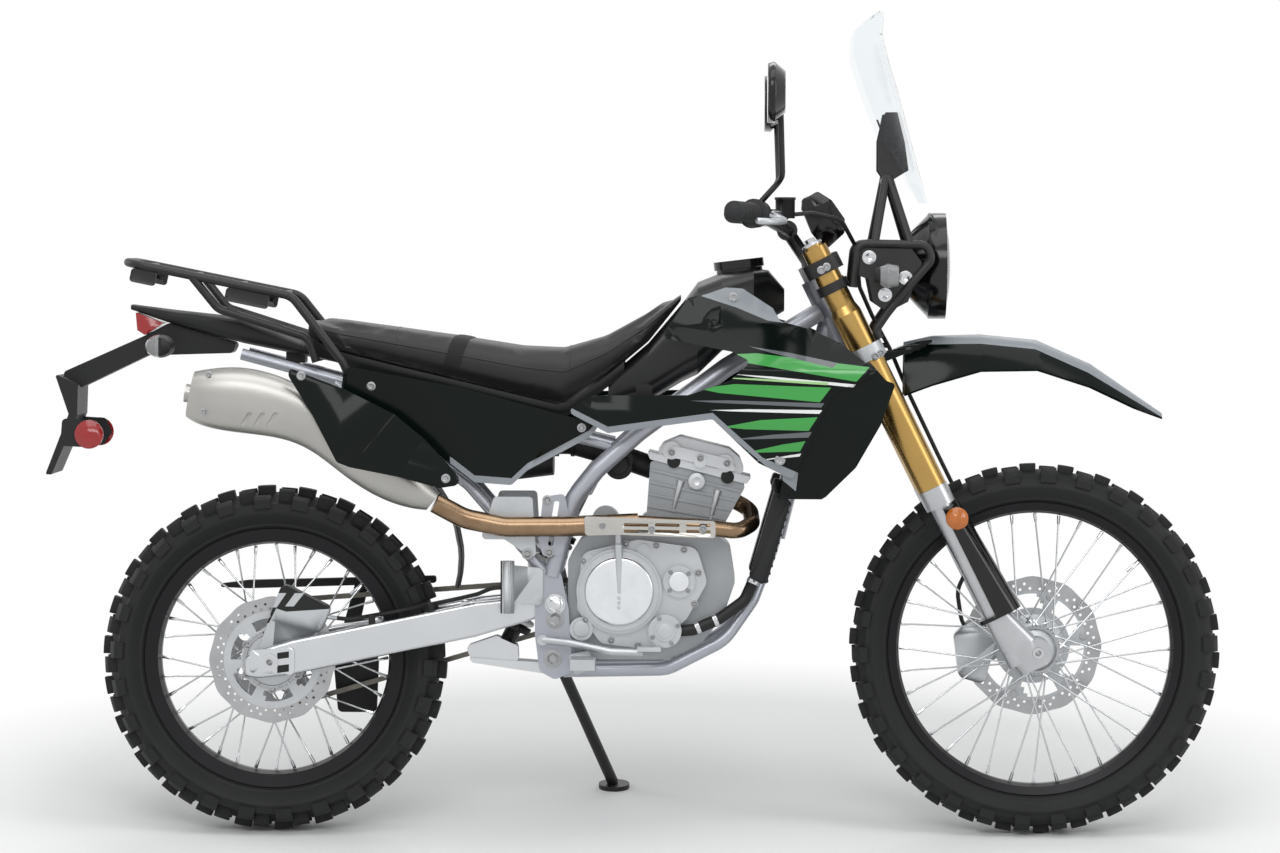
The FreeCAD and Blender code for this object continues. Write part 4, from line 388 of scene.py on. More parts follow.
def addRow(bm, places, closed=False):
    verts = [bm.verts.new(place) for place in places]
    following = verts[1:] + verts[:1] if closed else verts[1:]
    return [bm.edges.new(pair) for pair in zip(verts, following)]


def bridgeRows(bm, rows):
    for low, high in zip(rows, rows[1:]):
        bmesh.ops.bridge_loops(bm, edges=low + high)


def thicken(bm, thickness):
    bmesh.ops.recalc_face_normals(bm, faces=bm.faces)
    bmesh.ops.solidify(bm, geom=bm.faces[:], thickness=thickness)


def cutPlane(bm, place, normal, geom=None):
    if geom is None:
        geom = bm.verts[:] + bm.edges[:] + bm.faces[:]
    bmesh.ops.bisect_plane(bm, geom=geom, dist=cutGap, plane_co=place, plane_no=normal)


def aimed(place, direction):
    # a matrix whose Z runs along the direction
    return Matrix.Translation(place) @ direction.to_track_quat("Z", "Y").to_matrix().to_4x4()


def uprightCopy(nodeName):
    # the solid's own surface as one closed skin, stood upright
    bm = bmesh.new()
    bm.from_mesh(nodes[nodeName].data)
    bmesh.ops.remove_doubles(bm, verts=bm.verts, dist=weldGap)
    bmesh.ops.transform(bm, matrix=parked.inverted(), verts=bm.verts)
    return bm


def refinish(nodeName, name, body, materials, choose, cutAtX=None):
    # a finish chosen for each face of the copy, cut first where two finishes meet at an X in millimetres
    bm = uprightCopy(nodeName)
    if cutAtX is not None:
        cutPlane(bm, mm(cutAtX, 0), frontward)
    bm.normal_update()
    for face in bm.faces:
        face.material_index = choose(face.calc_center_median() * 1000, face.normal)
    return finishPiece(bm, name, materials, body, (nodeName,), turnOut=False)


def sidesOf(outline):
    return zip(outline, outline[1:] + outline[:1])


def within(outline, x, z):
    crossings = 0
    for (xa, za), (xb, zb) in sidesOf(outline):
        if (za > z) != (zb > z) and x < xa + (z - za) / (zb - za) * (xb - xa):
            crossings += 1
    return crossings % 2 == 1


def paintPanel(nodeName, name, body, materials, shapes, shows):
    # printed shapes, drawn in the side view in millimetres, are cut into the panel's own skin
    bm = uprightCopy(nodeName)
    for index, outline in shapes:
        for (xa, za), (xb, zb) in sidesOf(outline):
            near = []
            for face in bm.faces:
                xs = [v.co.x * 1000 for v in face.verts]
                zs = [v.co.z * 1000 for v in face.verts]
                if (min(xs) < max(xa, xb) + 1 and max(xs) > min(xa, xb) - 1
                        and min(zs) < max(za, zb) + 1 and max(zs) > min(za, zb) - 1):
                    near.append(face)
            edges = list({e for f in near for e in f.edges})
            verts = list({v for f in near for v in f.verts})
            cutPlane(bm, mm(xa, za), Vector((zb - za, 0, xa - xb)).normalized(), verts + edges + near)
    bm.normal_update()
    for face in bm.faces:
        spot = face.calc_center_median() * 1000
        face.material_index = 0
        for index, outline in shapes:
            if within(outline, spot.x, spot.z) and shows(spot, face.normal):
                face.material_index = index
    return finishPiece(bm, name, materials, body, (nodeName,), 30, turnOut=False)


def addDisc(bm, place, direction, radius, height, edge=0.0008, segments=40, top=None):
    # a turned button with a rounded rim, standing on the place
    made = bmesh.ops.create_cone(bm, cap_ends=True, segments=segments, radius1=radius, radius2=top or radius,
                                 depth=height,
                                 matrix=aimed(place, direction) @ Matrix.Translation((0, 0, height / 2)))
    roundEdges(bm, [e for e in edgesOf(made)
                    if all((v.co - place).dot(direction) > height * 0.6 for v in e.verts)], edge)


washer = {"reach": 1.55, "height": 0.0014, "edge": 0.0004}


def addBolt(bm, place, direction, radius, height):
    # a washer and a hexagon head, its top dished in the middle
    addDisc(bm, place, direction, radius * washer["reach"], washer["height"], washer["edge"], 24)
    turn = aimed(place + direction * washer["height"], direction)
    head = facesOf(bmesh.ops.create_cone(bm, cap_ends=True, segments=6, radius1=radius, radius2=radius, depth=height,
                                         matrix=turn @ Matrix.Translation((0, 0, height / 2))))
    bmesh.ops.recalc_face_normals(bm, faces=head)
    tops = [f for f in head if f.normal.dot(direction) > 0.9]
    bmesh.ops.inset_region(bm, faces=tops, thickness=radius * 0.3, use_even_offset=True)
    bmesh.ops.translate(bm, verts=list({v for f in tops for v in f.verts}), vec=-direction * height * 0.35)


def nodeTree(nodeName):
    bm = bmesh.new()
    bm.from_mesh(nodes[nodeName].data)
    tree = BVHTree.FromBMesh(bm)
    bm.free()
    return tree


def onSurface(tree, place, direction, lift):
    # the first point that a ray from outside meets, in upright coordinates
    start = parked @ (place - direction * 0.5)
    hit = tree.ray_cast(start, parked.to_3x3() @ direction)
    if hit[0] is None:
        return None
    return parked.inverted() @ hit[0] - direction * lift


def boltRow(name, body, material, radius, height, places, direction):
    bm = bmesh.new()
    for place in places:
        addBolt(bm, place, direction, radius, height)
    finishPiece(bm, name, material, body, turnOut=False)


def seatBolts(name, body, radius, height, nodeName, places, side):
    # each bolt is dropped from the side onto the solid, at (X, Z) in millimetres
    tree = nodeTree(nodeName)
    boltRow(name, body, zincBolt, radius, height,
            [onSurface(tree, mm(x, z), -side, -0.0002) for x, z in places], side)


def addTube(bm, points, radius, segments):
    # a round section carried along the points, each ring square to the path
    rows = []
    side = None
    for index, point in enumerate(points):
        ahead = (points[min(index + 1, len(points) - 1)] - points[max(index - 1, 0)]).normalized()
        side = (ahead.orthogonal() if side is None else side - ahead * side.dot(ahead)).normalized()
        turn = Matrix((side, ahead.cross(side), ahead)).transposed().to_4x4()
        rows.append(edgesOf(bmesh.ops.create_circle(bm, cap_ends=index in (0, len(points) - 1), segments=segments,
                                                    radius=radius, matrix=Matrix.Translation(point) @ turn)))
    bridgeRows(bm, rows)


# tyres: a turned carcass with moulded knobs, one pitch of them repeated round the axle

tyres = {
    "front": {"axle": frontAxle, "top": 351, "half": 42, "flange": 277, "bead": 25, "beadTop": 267.3, "knob": 11,
              "pitches": 30, "middle": -6, "shoulder": (30, 3.5), "crown": 40},
    "rear": {"axle": rearAxle, "top": 327.5, "half": 58, "flange": 245, "bead": 33, "beadTop": 229.3, "knob": 13,
             "pitches": 26, "middle": -8, "shoulder": (34, 4), "crown": 50},
    "crownRadius": 60, "turns": 150, "knobEdge": 0.0011,
}


def onCrown(tyre, across, depth=0.0):
    # radius and width of a place on the round crown, by its angle from the tread's middle
    turn = math.radians(across)
    crown = tyres["crownRadius"]
    return (tyre["top"] - crown + (crown - depth) * math.cos(turn), (crown - depth) * math.sin(turn))


def knobSections(end, tyre):
    # each knob's section (radius, width) in mm, its start and stop in the pitch, and whether both sides have it
    top, depth, half = tyre["top"], tyre["knob"], tyre["half"]
    inner = onCrown(tyre, 24)[1]
    if end == "front":
        centre = [onCrown(tyre, -10), onCrown(tyre, 0), onCrown(tyre, 10), (top - depth - 9, 9.5),
                  (top - depth - 9, -9.5)]
        shoulder = [onCrown(tyre, 24), onCrown(tyre, 40), (top - 20, half), (top - 34, half), (top - 38, half - 5),
                    (top - depth - 13, inner)]
        return [(centre, 0.06, 0.47, False), (shoulder, 0.52, 0.94, True)]
    centre = [onCrown(tyre, -14), onCrown(tyre, -10), onCrown(tyre, 0), onCrown(tyre, 10), onCrown(tyre, 14),
              (top - depth - 11, 14), (top - depth - 11, -14)]
    middle = [onCrown(tyre, 24), onCrown(tyre, 38), (top - depth - 21, onCrown(tyre, 38)[1]),
              (top - depth - 15, inner)]
    shoulder = [onCrown(tyre, 44), (top - 26, half - 1), (top - 42, half), (top - 46, half - 6),
                (top - depth - 23, onCrown(tyre, 44)[1])]
    return [(centre, 0.05, 0.47, False), (middle, 0.53, 0.93, True), (shoulder, 0.12, 0.55, True)]


def carcassProfile(tyre):
    # one side from bead to tread in mm, then the same mirrored
    top, half, depth, flange, bead = (tyre[key] for key in ("top", "half", "knob", "flange", "bead"))
    middle = (flange + top) / 2 + tyre["middle"]
    drop, tuck = tyre["shoulder"]
    side = [(tyre["beadTop"], bead - 5), (flange + 1, bead - 3.5), (flange + 3, bead + 1), (flange + 6, bead + 5),
            (flange + 9, bead + 6.4), (flange + 10.5, bead + 6.4),
            ((flange + 10 + middle) / 2, (bead + 8 + half) / 2), (middle - 4, half - 2.2), (middle - 2, half - 1.2),
            (middle + 1, half - 1.2), (middle + 3, half - 2.4), (top - drop, half - tuck - 0.5),
            onCrown(tyre, tyre["crown"], depth), onCrown(tyre, tyre["crown"] / 2, depth + 1),
            (top - depth - 0.5, 0.0)]
    return side + [(radius, -width) for radius, width in reversed(side[:-1])]


def makeTyre(end):
    tyre = tyres[end]
    wheelPose = {"cent": (0, 0, 0), "axis": (0, 1, 0)}
    bm = bmesh.new()
    edges = addRow(bm, [mm(radius, 0, width) for radius, width in carcassProfile(tyre)])
    bmesh.ops.spin(bm, geom=bm.verts[:] + edges, angle=2 * math.pi, steps=tyres["turns"], use_merge=True, **wheelPose)
    pitch = 2 * math.pi / tyre["pitches"]
    sections = knobSections(end, tyre)
    lowCorner = sections[0][1] * pitch
    for section, start, stop, bothSides in sections:
        for mirrorSign in ((1, -1) if bothSides else (1,)):
            knob = bmesh.new()
            ring = [knob.verts.new(mm(radius, 0, width * mirrorSign)) for radius, width in section]
            face = knob.faces.new(ring)
            bmesh.ops.spin(knob, geom=[face] + list(face.edges) + ring, angle=-(stop - start) * pitch, steps=3,
                           **wheelPose)
            bmesh.ops.recalc_face_normals(knob, faces=knob.faces)
            treadRadius = (tyre["top"] - tyre["knob"] - 4) / 1000
            roundEdges(knob, [e for e in knob.edges if len(e.link_faces) == 2 and e.calc_face_angle() > 0.5
                              and max(Vector((v.co.x, v.co.z)).length for v in e.verts) > treadRadius],
                       tyres["knobEdge"], 2)
            bmesh.ops.rotate(knob, cent=(0, 0, 0), verts=knob.verts,
                             matrix=Matrix.Rotation(math.pi / 2 + lowCorner - start * pitch, 3, "Y"))
            block = bpy.data.meshes.new("knob")
            knob.to_mesh(block)
            knob.free()
            for index in range(tyre["pitches"]):
                had = len(bm.verts)
                bm.from_mesh(block)
                bm.verts.ensure_lookup_table()
                bmesh.ops.rotate(bm, cent=(0, 0, 0), matrix=Matrix.Rotation(-index * pitch, 3, "Y"),
                                 verts=bm.verts[had:])
            bpy.data.meshes.remove(block)
    bmesh.ops.translate(bm, verts=bm.verts, vec=tyre["axle"])
    finishPiece(bm, end + "_knobby_tyre", tyreRubber, end + "_wheel", (end + "_tyre",), angle=28)


makeTyre("front")
makeTyre("rear")
print("tyres made")


# wheels: nipples, valve, bolts, drilled rings and the anti-lock ring

wheels = {
    "front": {"axle": frontAxle, "rimInner": 0.257, "flange": 0.044, "hubHalf": 0.042},
    "rear": {"axle": rearAxle, "rimInner": 0.216, "flange": 0.058, "hubHalf": 0.046},
    "spokes": 36, "spokeLean": 0.62, "valveTurn": 0.7,
    # how far the spokes' heads and nipples stand off the hub's flange, the rim and the middle
    "headOff": (0.0017, 0.0025), "nippleOff": (0.0012, 0.005), "cross": 0.002, "nippleReach": 0.017, "valveReach": 0.03,
    # radius, height, rounded edge, sides and the far end's radius
    "nipple": (0.0026, 0.0166, 0.0004, 8, 0.0036), "spokeHead": (0.0024, 0.014, 0.0004, 8, 0.002),
    "valve": (0.0032, 0.031, 0.0006, 12),
}


def onWheel(radius, turn, y=0.0):
    return Vector((radius * math.cos(turn), y, radius * math.sin(turn)))


def makeNipples(end):
    wheel = wheels[end]
    (headOut, headIn), (nippleIn, nippleSide) = wheels["headOff"], wheels["nippleOff"]
    bm = bmesh.new()
    for index in range(wheels["spokes"]):
        side = 1 if index % 2 else -1
        trailing = 1 if (index // 2) % 2 else -1
        rimTurn = 2 * math.pi * index / wheels["spokes"]
        cross = wheels["cross"] * trailing
        start = onWheel(wheel["flange"] + headOut, rimTurn + trailing * wheels["spokeLean"],
                        side * (wheel["hubHalf"] - headIn - cross))
        stop = onWheel(wheel["rimInner"] - nippleIn, rimTurn, side * (nippleSide - cross))
        along = (stop - start).normalized()
        addDisc(bm, stop - along * wheels["nippleReach"], along, *wheels["nipple"])
        addDisc(bm, start, along, *wheels["spokeHead"])
    valveTurn = wheels["valveTurn"]
    addDisc(bm, onWheel(wheel["rimInner"] - wheels["valveReach"], valveTurn), onWheel(1, valveTurn), *wheels["valve"])
    bmesh.ops.translate(bm, verts=bm.verts, vec=wheel["axle"])
    finishPiece(bm, end + "_spoke_nipples", platedSteel, end + "_wheel", turnOut=False)


def makeRing(end, y, outer, inner, teeth, toothDepth=0.003, thickness=0.0022):
    # a flat ring with square teeth round its rim, as a wheel speed sensor reads
    bm = bmesh.new()
    places = []
    for index in range(teeth):
        for share, reach in ((0.0, outer), (0.5, outer), (0.5, outer - toothDepth), (1.0, outer - toothDepth)):
            places.append(onWheel(reach, 2 * math.pi * (index + share) / teeth, y))
    rim = addRow(bm, places, closed=True)
    hole = bmesh.ops.create_circle(bm, segments=teeth * 2, radius=inner,
                                   matrix=Matrix.Translation((0, y, 0)) @ Matrix.Rotation(math.pi / 2, 4, "X"))
    bmesh.ops.bridge_loops(bm, edges=rim + edgesOf(hole))
    bmesh.ops.solidify(bm, geom=bm.faces[:], thickness=thickness)
    bmesh.ops.translate(bm, verts=bm.verts, vec=wheels[end]["axle"])
    finishPiece(bm, end + "_sensor_ring", discSteel, end + "_wheel", angle=30)


discs = {
    # the rows' radii, the petals' wave and the carrier's edge in millimetres, and the rest in metres
    "front": {"side": 0.064, "wave": 3.2, "radii": [60.5, 66, 72, 82, 93, 99, 104, 113.5, 123, 132.3],
              "windows": (2, 4), "hole": 0.0029, "carrier": 104},
    "rear": {"side": -0.066, "wave": 3.0, "radii": [48, 55, 60, 70, 79, 86, 92, 101, 110, 119.8],
             "windows": (2, 3), "hole": 0.0027, "carrier": 92},
    "cells": 72, "petals": 12, "arms": 6, "armCells": 4, "drilled": (6, 7), "thickness": 0.0038,
    "rivetCircle": 0.0985, "rivet": (0.0075, 0.0016, 0.0005, 20),
}
# wheel, side, outer and inner radius, teeth
sensorRings = [("rear", -0.0712, 0.056, 0.049, 44), ("front", -0.0495, 0.047, 0.040, 40)]
# name, wheel, radius and height of the head, bolt circle, side, facing, turn in parts of a step
wheelBolts = [("front_disc_bolts", "front", 0.0045, 0.0035, 0.0615, 0.0661, left, 0.5),
              ("rear_disc_bolts", "rear", 0.0055, 0.004, 0.056, -0.0681, right, 0.5),
              ("sprocket_bolts", "rear", 0.0055, 0.004, 0.052, 0.0786, left, 0)]


def makeDisc(end):
    # a stamped petal rotor with two drilled rows, on a cast carrier with windows
    disc = discs[end]
    bm = bmesh.new()
    cells, radii, halfThick = discs["cells"], disc["radii"], discs["thickness"] / 2

    def corner(row, column):
        turn = 2 * math.pi * column / cells
        radius = radii[row]
        if row == len(radii) - 1:
            radius -= disc["wave"] * (0.5 - 0.5 * math.cos(turn * discs["petals"]))
        return onWheel(radius / 1000, turn)

    for row in range(len(radii) - 1):
        for column in range(cells):
            share = column % (cells // discs["arms"])
            if disc["windows"][0] <= row <= disc["windows"][1] and share >= discs["armCells"] + (row - 3):
                continue
            ring = [bm.verts.new(place) for place in (corner(row, column), corner(row, column + 1),
                                                      corner(row + 1, column + 1), corner(row + 1, column))]
            if row in discs["drilled"] and (column + row) % 2 == 0 and column % 6 != 5:
                middle = sum((v.co for v in ring), Vector()) / 4
                turn = (Matrix.Rotation(2 * math.pi * (0.5 - (column + 0.5) / cells), 4, "Y")
                        @ Matrix.Rotation(math.pi / 2, 4, "X"))
                hole = bmesh.ops.create_circle(bm, segments=8, radius=disc["hole"],
                                               matrix=Matrix.Translation(middle) @ turn)
                edges = [bm.edges.new(pair) for pair in sidesOf(ring)]
                bmesh.ops.bridge_loops(bm, edges=edges + edgesOf(hole))
            else:
                bm.faces.new(ring)
    bmesh.ops.remove_doubles(bm, verts=bm.verts, dist=weldGap)
    thicken(bm, discs["thickness"])
    low = min(v.co.y for v in bm.verts)
    bmesh.ops.translate(bm, verts=bm.verts, vec=Vector((0, disc["side"] - low - halfThick, 0)))
    for face in bm.faces:
        spot = face.calc_center_median()
        face.material_index = 1 if math.hypot(spot.x, spot.z) * 1000 < disc["carrier"] else 0
    if end == "front":  # a floating rotor's rivets
        for index in range(discs["arms"]):
            turn = 2 * math.pi * (index * (cells // discs["arms"]) + discs["armCells"] / 2) / cells
            for sign in (1, -1):
                addDisc(bm, onWheel(discs["rivetCircle"], turn, disc["side"] + halfThick * sign), left * sign,
                        *discs["rivet"])
    bmesh.ops.translate(bm, verts=bm.verts, vec=wheels[end]["axle"])
    finishPiece(bm, end + "_petal_disc", [discSteel, castAlloy], end + "_wheel", (end + "_disc",),
                angle=30)


def boltCircle(name, end, radius, height, circle, y, direction, shift):
    boltRow(name, end + "_wheel", zincBolt, radius, height,
            [wheels[end]["axle"] + onWheel(circle, math.pi * (i + shift) / 3, y) for i in range(6)], direction)


for end in ("front", "rear"):
    makeDisc(end)
    makeNipples(end)
for ring in sensorRings:
    makeRing(*ring)
for bolts in wheelBolts:
    boltCircle(*bolts)
print("wheels dressed")


# chain: plates and rollers along the pitch line

chain = {"pitch": 15.875, "rearTeeth": 40, "frontTeeth": 14, "side": 0.076, "sprocket": mm(612, 440),
         "plate": (0.0017, 0.0092), "plateOver": 8.6, "plateEnd": 0.0043, "plateReach": (0.0044, 0.0063),
         "arcSteps": 60, "pin": (0.0025, 0.0156, 0.0004, 8), "roller": (0.0050, 0.0068, 0.0004, 12)}


def pitchRadius(teeth):
    return chain["pitch"] / (2 * math.sin(math.pi / teeth)) / 1000


def chainPath():
    big, small = pitchRadius(chain["rearTeeth"]), pitchRadius(chain["frontTeeth"])
    span = chain["sprocket"] - rearAxle
    direction = span.normalized()
    across = Vector((-direction.z, 0, direction.x))
    reach = math.acos((big - small) / span.length)
    points = []
    for centre, radius, begin, finish in ((rearAxle, big, reach, 2 * math.pi - reach),
                                          (chain["sprocket"], small, -reach, reach)):
        for step in range(chain["arcSteps"] + 1):
            turn = begin + (finish - begin) * step / chain["arcSteps"]
            points.append(centre + (direction * math.cos(turn) + across * math.sin(turn)) * radius)
    return points + points[:1]


def pinPlaces():
    # the pins lie a pitch apart along the path, an even number of them
    points = chainPath()
    lengths = [(b - a).length for a, b in zip(points, points[1:])]
    total = sum(lengths)
    count = int(round(total / (chain["pitch"] / 1000) / 2)) * 2
    pins = []
    for index in range(count + 1):
        remaining = (total * index / count) % total
        for a, b, length in zip(points, points[1:], lengths):
            if remaining <= length:
                pins.append(a.lerp(b, remaining / length))
                break
            remaining -= length
    return pins


def makeChain():
    bm = bmesh.new()
    pins = pinPlaces()
    width, height = chain["plate"]
    for index, (pin, following) in enumerate(zip(pins, pins[1:])):
        along = (following - pin).normalized()
        turn = Matrix((along, left, along.cross(left))).transposed().to_4x4()
        for sign in (1, -1):
            centre = (pin + following) / 2 + left * (chain["side"] + sign * chain["plateReach"][index % 2])
            plate = bmesh.ops.create_cube(bm, size=1, matrix=Matrix.Translation(centre) @ turn @ Matrix.Diagonal(
                ((chain["pitch"] + chain["plateOver"]) / 1000, width, height, 1)))
            roundEdges(bm, [e for e in edgesOf(plate) if follows(e, left) > 0.9], chain["plateEnd"])
        for size in (chain["pin"], chain["roller"]):
            addDisc(bm, pin + left * (chain["side"] - size[1] / 2), left, *size)
    finishPiece(bm, "roller_chain", chainSteel, "chassis", ("drive_chain",), angle=30)


makeChain()
print("chain made")


# seat: an inflated foam block with a passenger strap and piped seams

seat = {
    # X, bottom, top and half width in millimetres
    "stations": [(62, 932, 973, 76), (130, 904, 966, 94), (235, 879, 952, 110), (340, 855, 938, 118),
                 (470, 824, 918, 116), (550, 805, 915, 104), (630, 862, 938, 86), (706, 926, 980, 72),
                 (772, 1004, 1024, 52)],
    "inset": 4.0, "squareness": 0.62, "voxel": 0.006,
    "pressure": 4, "steps": 20, "swell": 0.007, "swellBelow": 0.001,
    "seamHeight": 0.62, "seamXs": (236, 560),
    "strapX": 364, "strapEndsX": 339, "strapHalfWidth": 15,
    "lipX": (74, 588), "lip": ((-4, 16), (4, 15), (10, 16), (19, 20)),  # X start and length, dip and tuck
    "lipSteps": 28, "lipThickness": 0.0025, "seamX": (84, 752, 12), "seamSteps": 24,
    "strapHeight": 0.32, "strapSteps": 30, "strapThickness": 0.0022, "strapLift": (0.0024, 0.0012),
    "piping": (0.0017, 8), "crossPiping": (0.0013, 8),  # radius and sides
}


def seatSection(x):
    # bottom, top and half width at a place along the seat
    stations = seat["stations"]
    low, high = [(a, b) for a, b in zip(stations, stations[1:]) if a[0] <= x <= b[0]][0]
    mix = (x - low[0]) / (high[0] - low[0])
    return [a + (b - a) * mix for a, b in zip(low[1:], high[1:])]


def seatLevel(x, share):
    bottom, top, half = seatSection(x)
    return bottom + (top - bottom) * share


def bakedMesh(piece):
    mesh = bpy.data.meshes.new_from_object(piece.evaluated_get(bpy.context.evaluated_depsgraph_get()))
    piece.modifiers.clear()
    piece.data = mesh
    return mesh


def makeSeat():
    bm = bmesh.new()
    loops = []
    last = len(seat["stations"]) - 1
    for index, (x, low, high, half) in enumerate(seat["stations"]):
        shift = seat["inset"] * (1 if index == 0 else -1 if index == last else 0)
        rise = (high - low) / 2 - seat["inset"]
        made = bmesh.ops.create_circle(bm, cap_ends=index in (0, last), segments=32, radius=1)
        for vert in made["verts"]:
            turn = math.atan2(vert.co.y, vert.co.x)
            across, above = (math.copysign(abs(part) ** seat["squareness"], part)
                             for part in (math.cos(turn), math.sin(turn)))
            vert.co = mm(x + shift, (low + high) / 2 + above * rise, across * (half - seat["inset"]))
        loops.append(edgesOf(made))
    bridgeRows(bm, loops)
    piece = finishPiece(bm, "seat_cushion", seatVinyl, "chassis", ("seat",), angle=60)
    remesh = piece.modifiers.new("voxels", "REMESH")
    remesh.mode = "VOXEL"
    remesh.voxel_size = seat["voxel"]
    shaped = bakedMesh(piece)
    before = [v.co.copy() for v in shaped.vertices]
    cloth = piece.modifiers.new("foam", "CLOTH")
    cloth.settings.use_pressure = True
    cloth.settings.uniform_pressure_force = seat["pressure"]
    cloth.settings.effector_weights.gravity = 0
    cloth.point_cache.frame_start = 1
    cloth.point_cache.frame_end = seat["steps"]
    for step in range(1, seat["steps"] + 1):
        bpy.context.scene.frame_set(step)
    blown = bpy.data.meshes.new_from_object(piece.evaluated_get(bpy.context.evaluated_depsgraph_get()))
    bpy.context.scene.frame_set(1)
    piece.modifiers.clear()
    piece.data = blown
    down = parked.to_3x3() @ Vector((0, 0, -1))
    for vert, start in zip(blown.vertices, before):
        move = vert.co - start
        reach = seat["swellBelow"] if move.normalized().dot(down) > 0.4 else seat["swell"]
        if move.length > reach:
            vert.co = start + move.normalized() * reach
    if not piece.data.materials:
        piece.data.materials.append(seatVinyl)
    smooth = piece.modifiers.new("smooth", "SUBSURF")
    smooth.levels = smooth.render_levels = 1
    piece.data.shade_smooth()
    return piece


def makeSeatPan():
    # the moulded base's lip, seen in the line between the cushion and the panels under it
    bm = bmesh.new()
    start, length = seat["lipX"]
    for sign in (1, -1):
        rows = []
        for dip, tuck in seat["lip"]:
            places = []
            for step in range(seat["lipSteps"] + 1):
                x = start + length * step / seat["lipSteps"]
                bottom, _, half = seatSection(x)
                places.append(mm(x, bottom - dip, (half - tuck) * sign))
            rows.append(addRow(bm, places))
        bridgeRows(bm, rows)
    thicken(bm, seat["lipThickness"])
    finishPiece(bm, "seat_base_lip", blackPlastic, "chassis", angle=40)


def makeSeatTrim(cushion):
    tree = BVHTree.FromObject(cushion, bpy.context.evaluated_depsgraph_get())

    def overSeat(turn, roundness, dip):
        # looks in at the seat from the left side, over its top, to the right side
        return Vector((0, -math.cos(turn), -math.sin(turn) * roundness - dip)).normalized()

    bm = bmesh.new()
    for side in (right, left):
        spots = [onSurface(tree, mm(x, seatLevel(x, seat["seamHeight"])), -side, -0.0002)
                 for x in range(*seat["seamX"])]
        addTube(bm, [spot for spot in spots if spot], *seat["piping"])
    for seamX in seat["seamXs"]:
        spots = [onSurface(tree, mm(seamX, seatLevel(seamX, 0.5)),
                           overSeat(math.pi * (step / seat["seamSteps"]), 0.9, 0.05), -0.0004)
                 for step in range(seat["seamSteps"] + 1)]
        addTube(bm, [spot for spot in spots if spot], *seat["crossPiping"])
    finishPiece(bm, "seat_piping", seatVinyl, "chassis", angle=60)
    # the passenger strap, a flat band over the seat that leans back towards its ends
    bm = bmesh.new()
    half = seat["strapHalfWidth"]
    middleLift, edgeLift = seat["strapLift"]
    rows = []
    for shift in (-half, -half / 2, 0, half / 2, half):
        lift = edgeLift if abs(shift) == half else middleLift
        spots = []
        for step in range(seat["strapSteps"] + 1):
            turn = math.pi * step / seat["strapSteps"]
            x = seat["strapX"] + (seat["strapEndsX"] - seat["strapX"]) * (1 - math.sin(turn)) + shift
            spots.append(onSurface(tree, mm(x, seatLevel(x, seat["strapHeight"])), overSeat(turn, 0.8, 0.02), lift))
        rows.append(addRow(bm, [spot for spot in spots if spot]))
    bridgeRows(bm, rows)
    thicken(bm, seat["strapThickness"])
    finishPiece(bm, "passenger_strap", strapWeb, "chassis", angle=40)


makeSeatTrim(makeSeat())
makeSeatPan()
print("seat made")


# bodywork: printed bars, grey bands and trims, cut into the panels' own skin

shroudGraphic = {
    "finishes": [glossPanel, vinyls["green"], vinyls["white"], vinyls["grey"], vinyls["lime"], greyPlastic],
    # finish, front end, rear tip and width, in millimetres
    "bars": [(1, (1120, 872), (838, 908), 30), (2, (1094, 852), (868, 873), 6), (3, (1060, 889), (896, 924), 11),
             (1, (1050, 835), (800, 846), 28), (4, (1044, 856), (838, 867), 5), (3, (1036, 816), (786, 823), 8),
             (2, (1032, 804), (824, 806), 7), (1, (1026, 782), (848, 775), 25), (3, (1014, 762), (868, 752), 10),
             (1, (1004, 741), (890, 727), 18), (2, (994, 724), (904, 711), 5)],
    "greys": [[(540, 790), (634, 750), (634, 773), (556, 812)], [(634, 750), (838, 778), (829, 801), (634, 773)],
              [(838, 778), (984, 655), (988, 690), (922, 718), (829, 801)],
              [(806, 1017), (852, 1036), (892, 1034), (944, 992), (960, 968), (930, 972), (872, 996)]],
}
coverBand = {"line": [(338, 702), (348, 695), (384, 667), (453, 662), (483, 690), (598, 752), (626, 782)],
             "below": 9, "above": 13}
fenderTop = [(1160, 917), (1234, 926), (1333, 928), (1436, 918), (1536, 874), (1690, 782), (1720, 960), (1160, 980)]


def barOutline(front, rear, width):
    # a bar with a slanted nose that tapers to a point at the rear
    ahead = Vector((front[0] - rear[0], front[1] - rear[1])).normalized()
    over = Vector((-ahead.y, ahead.x))
    nose = Vector(front) - ahead * width * 0.5
    tail = Vector(rear)
    corners = [nose + over * width / 2 + ahead * width * 0.4, nose - over * width / 2 - ahead * width * 0.3,
               tail + ahead * 40 - over * width * 0.22, tail, tail + ahead * 70 + over * width * 0.42]
    return [(corner.x, corner.y) for corner in corners]


def facesOut(spot, normal):
    return normal.y * spot.y > 0 or abs(normal.y) < 0.3


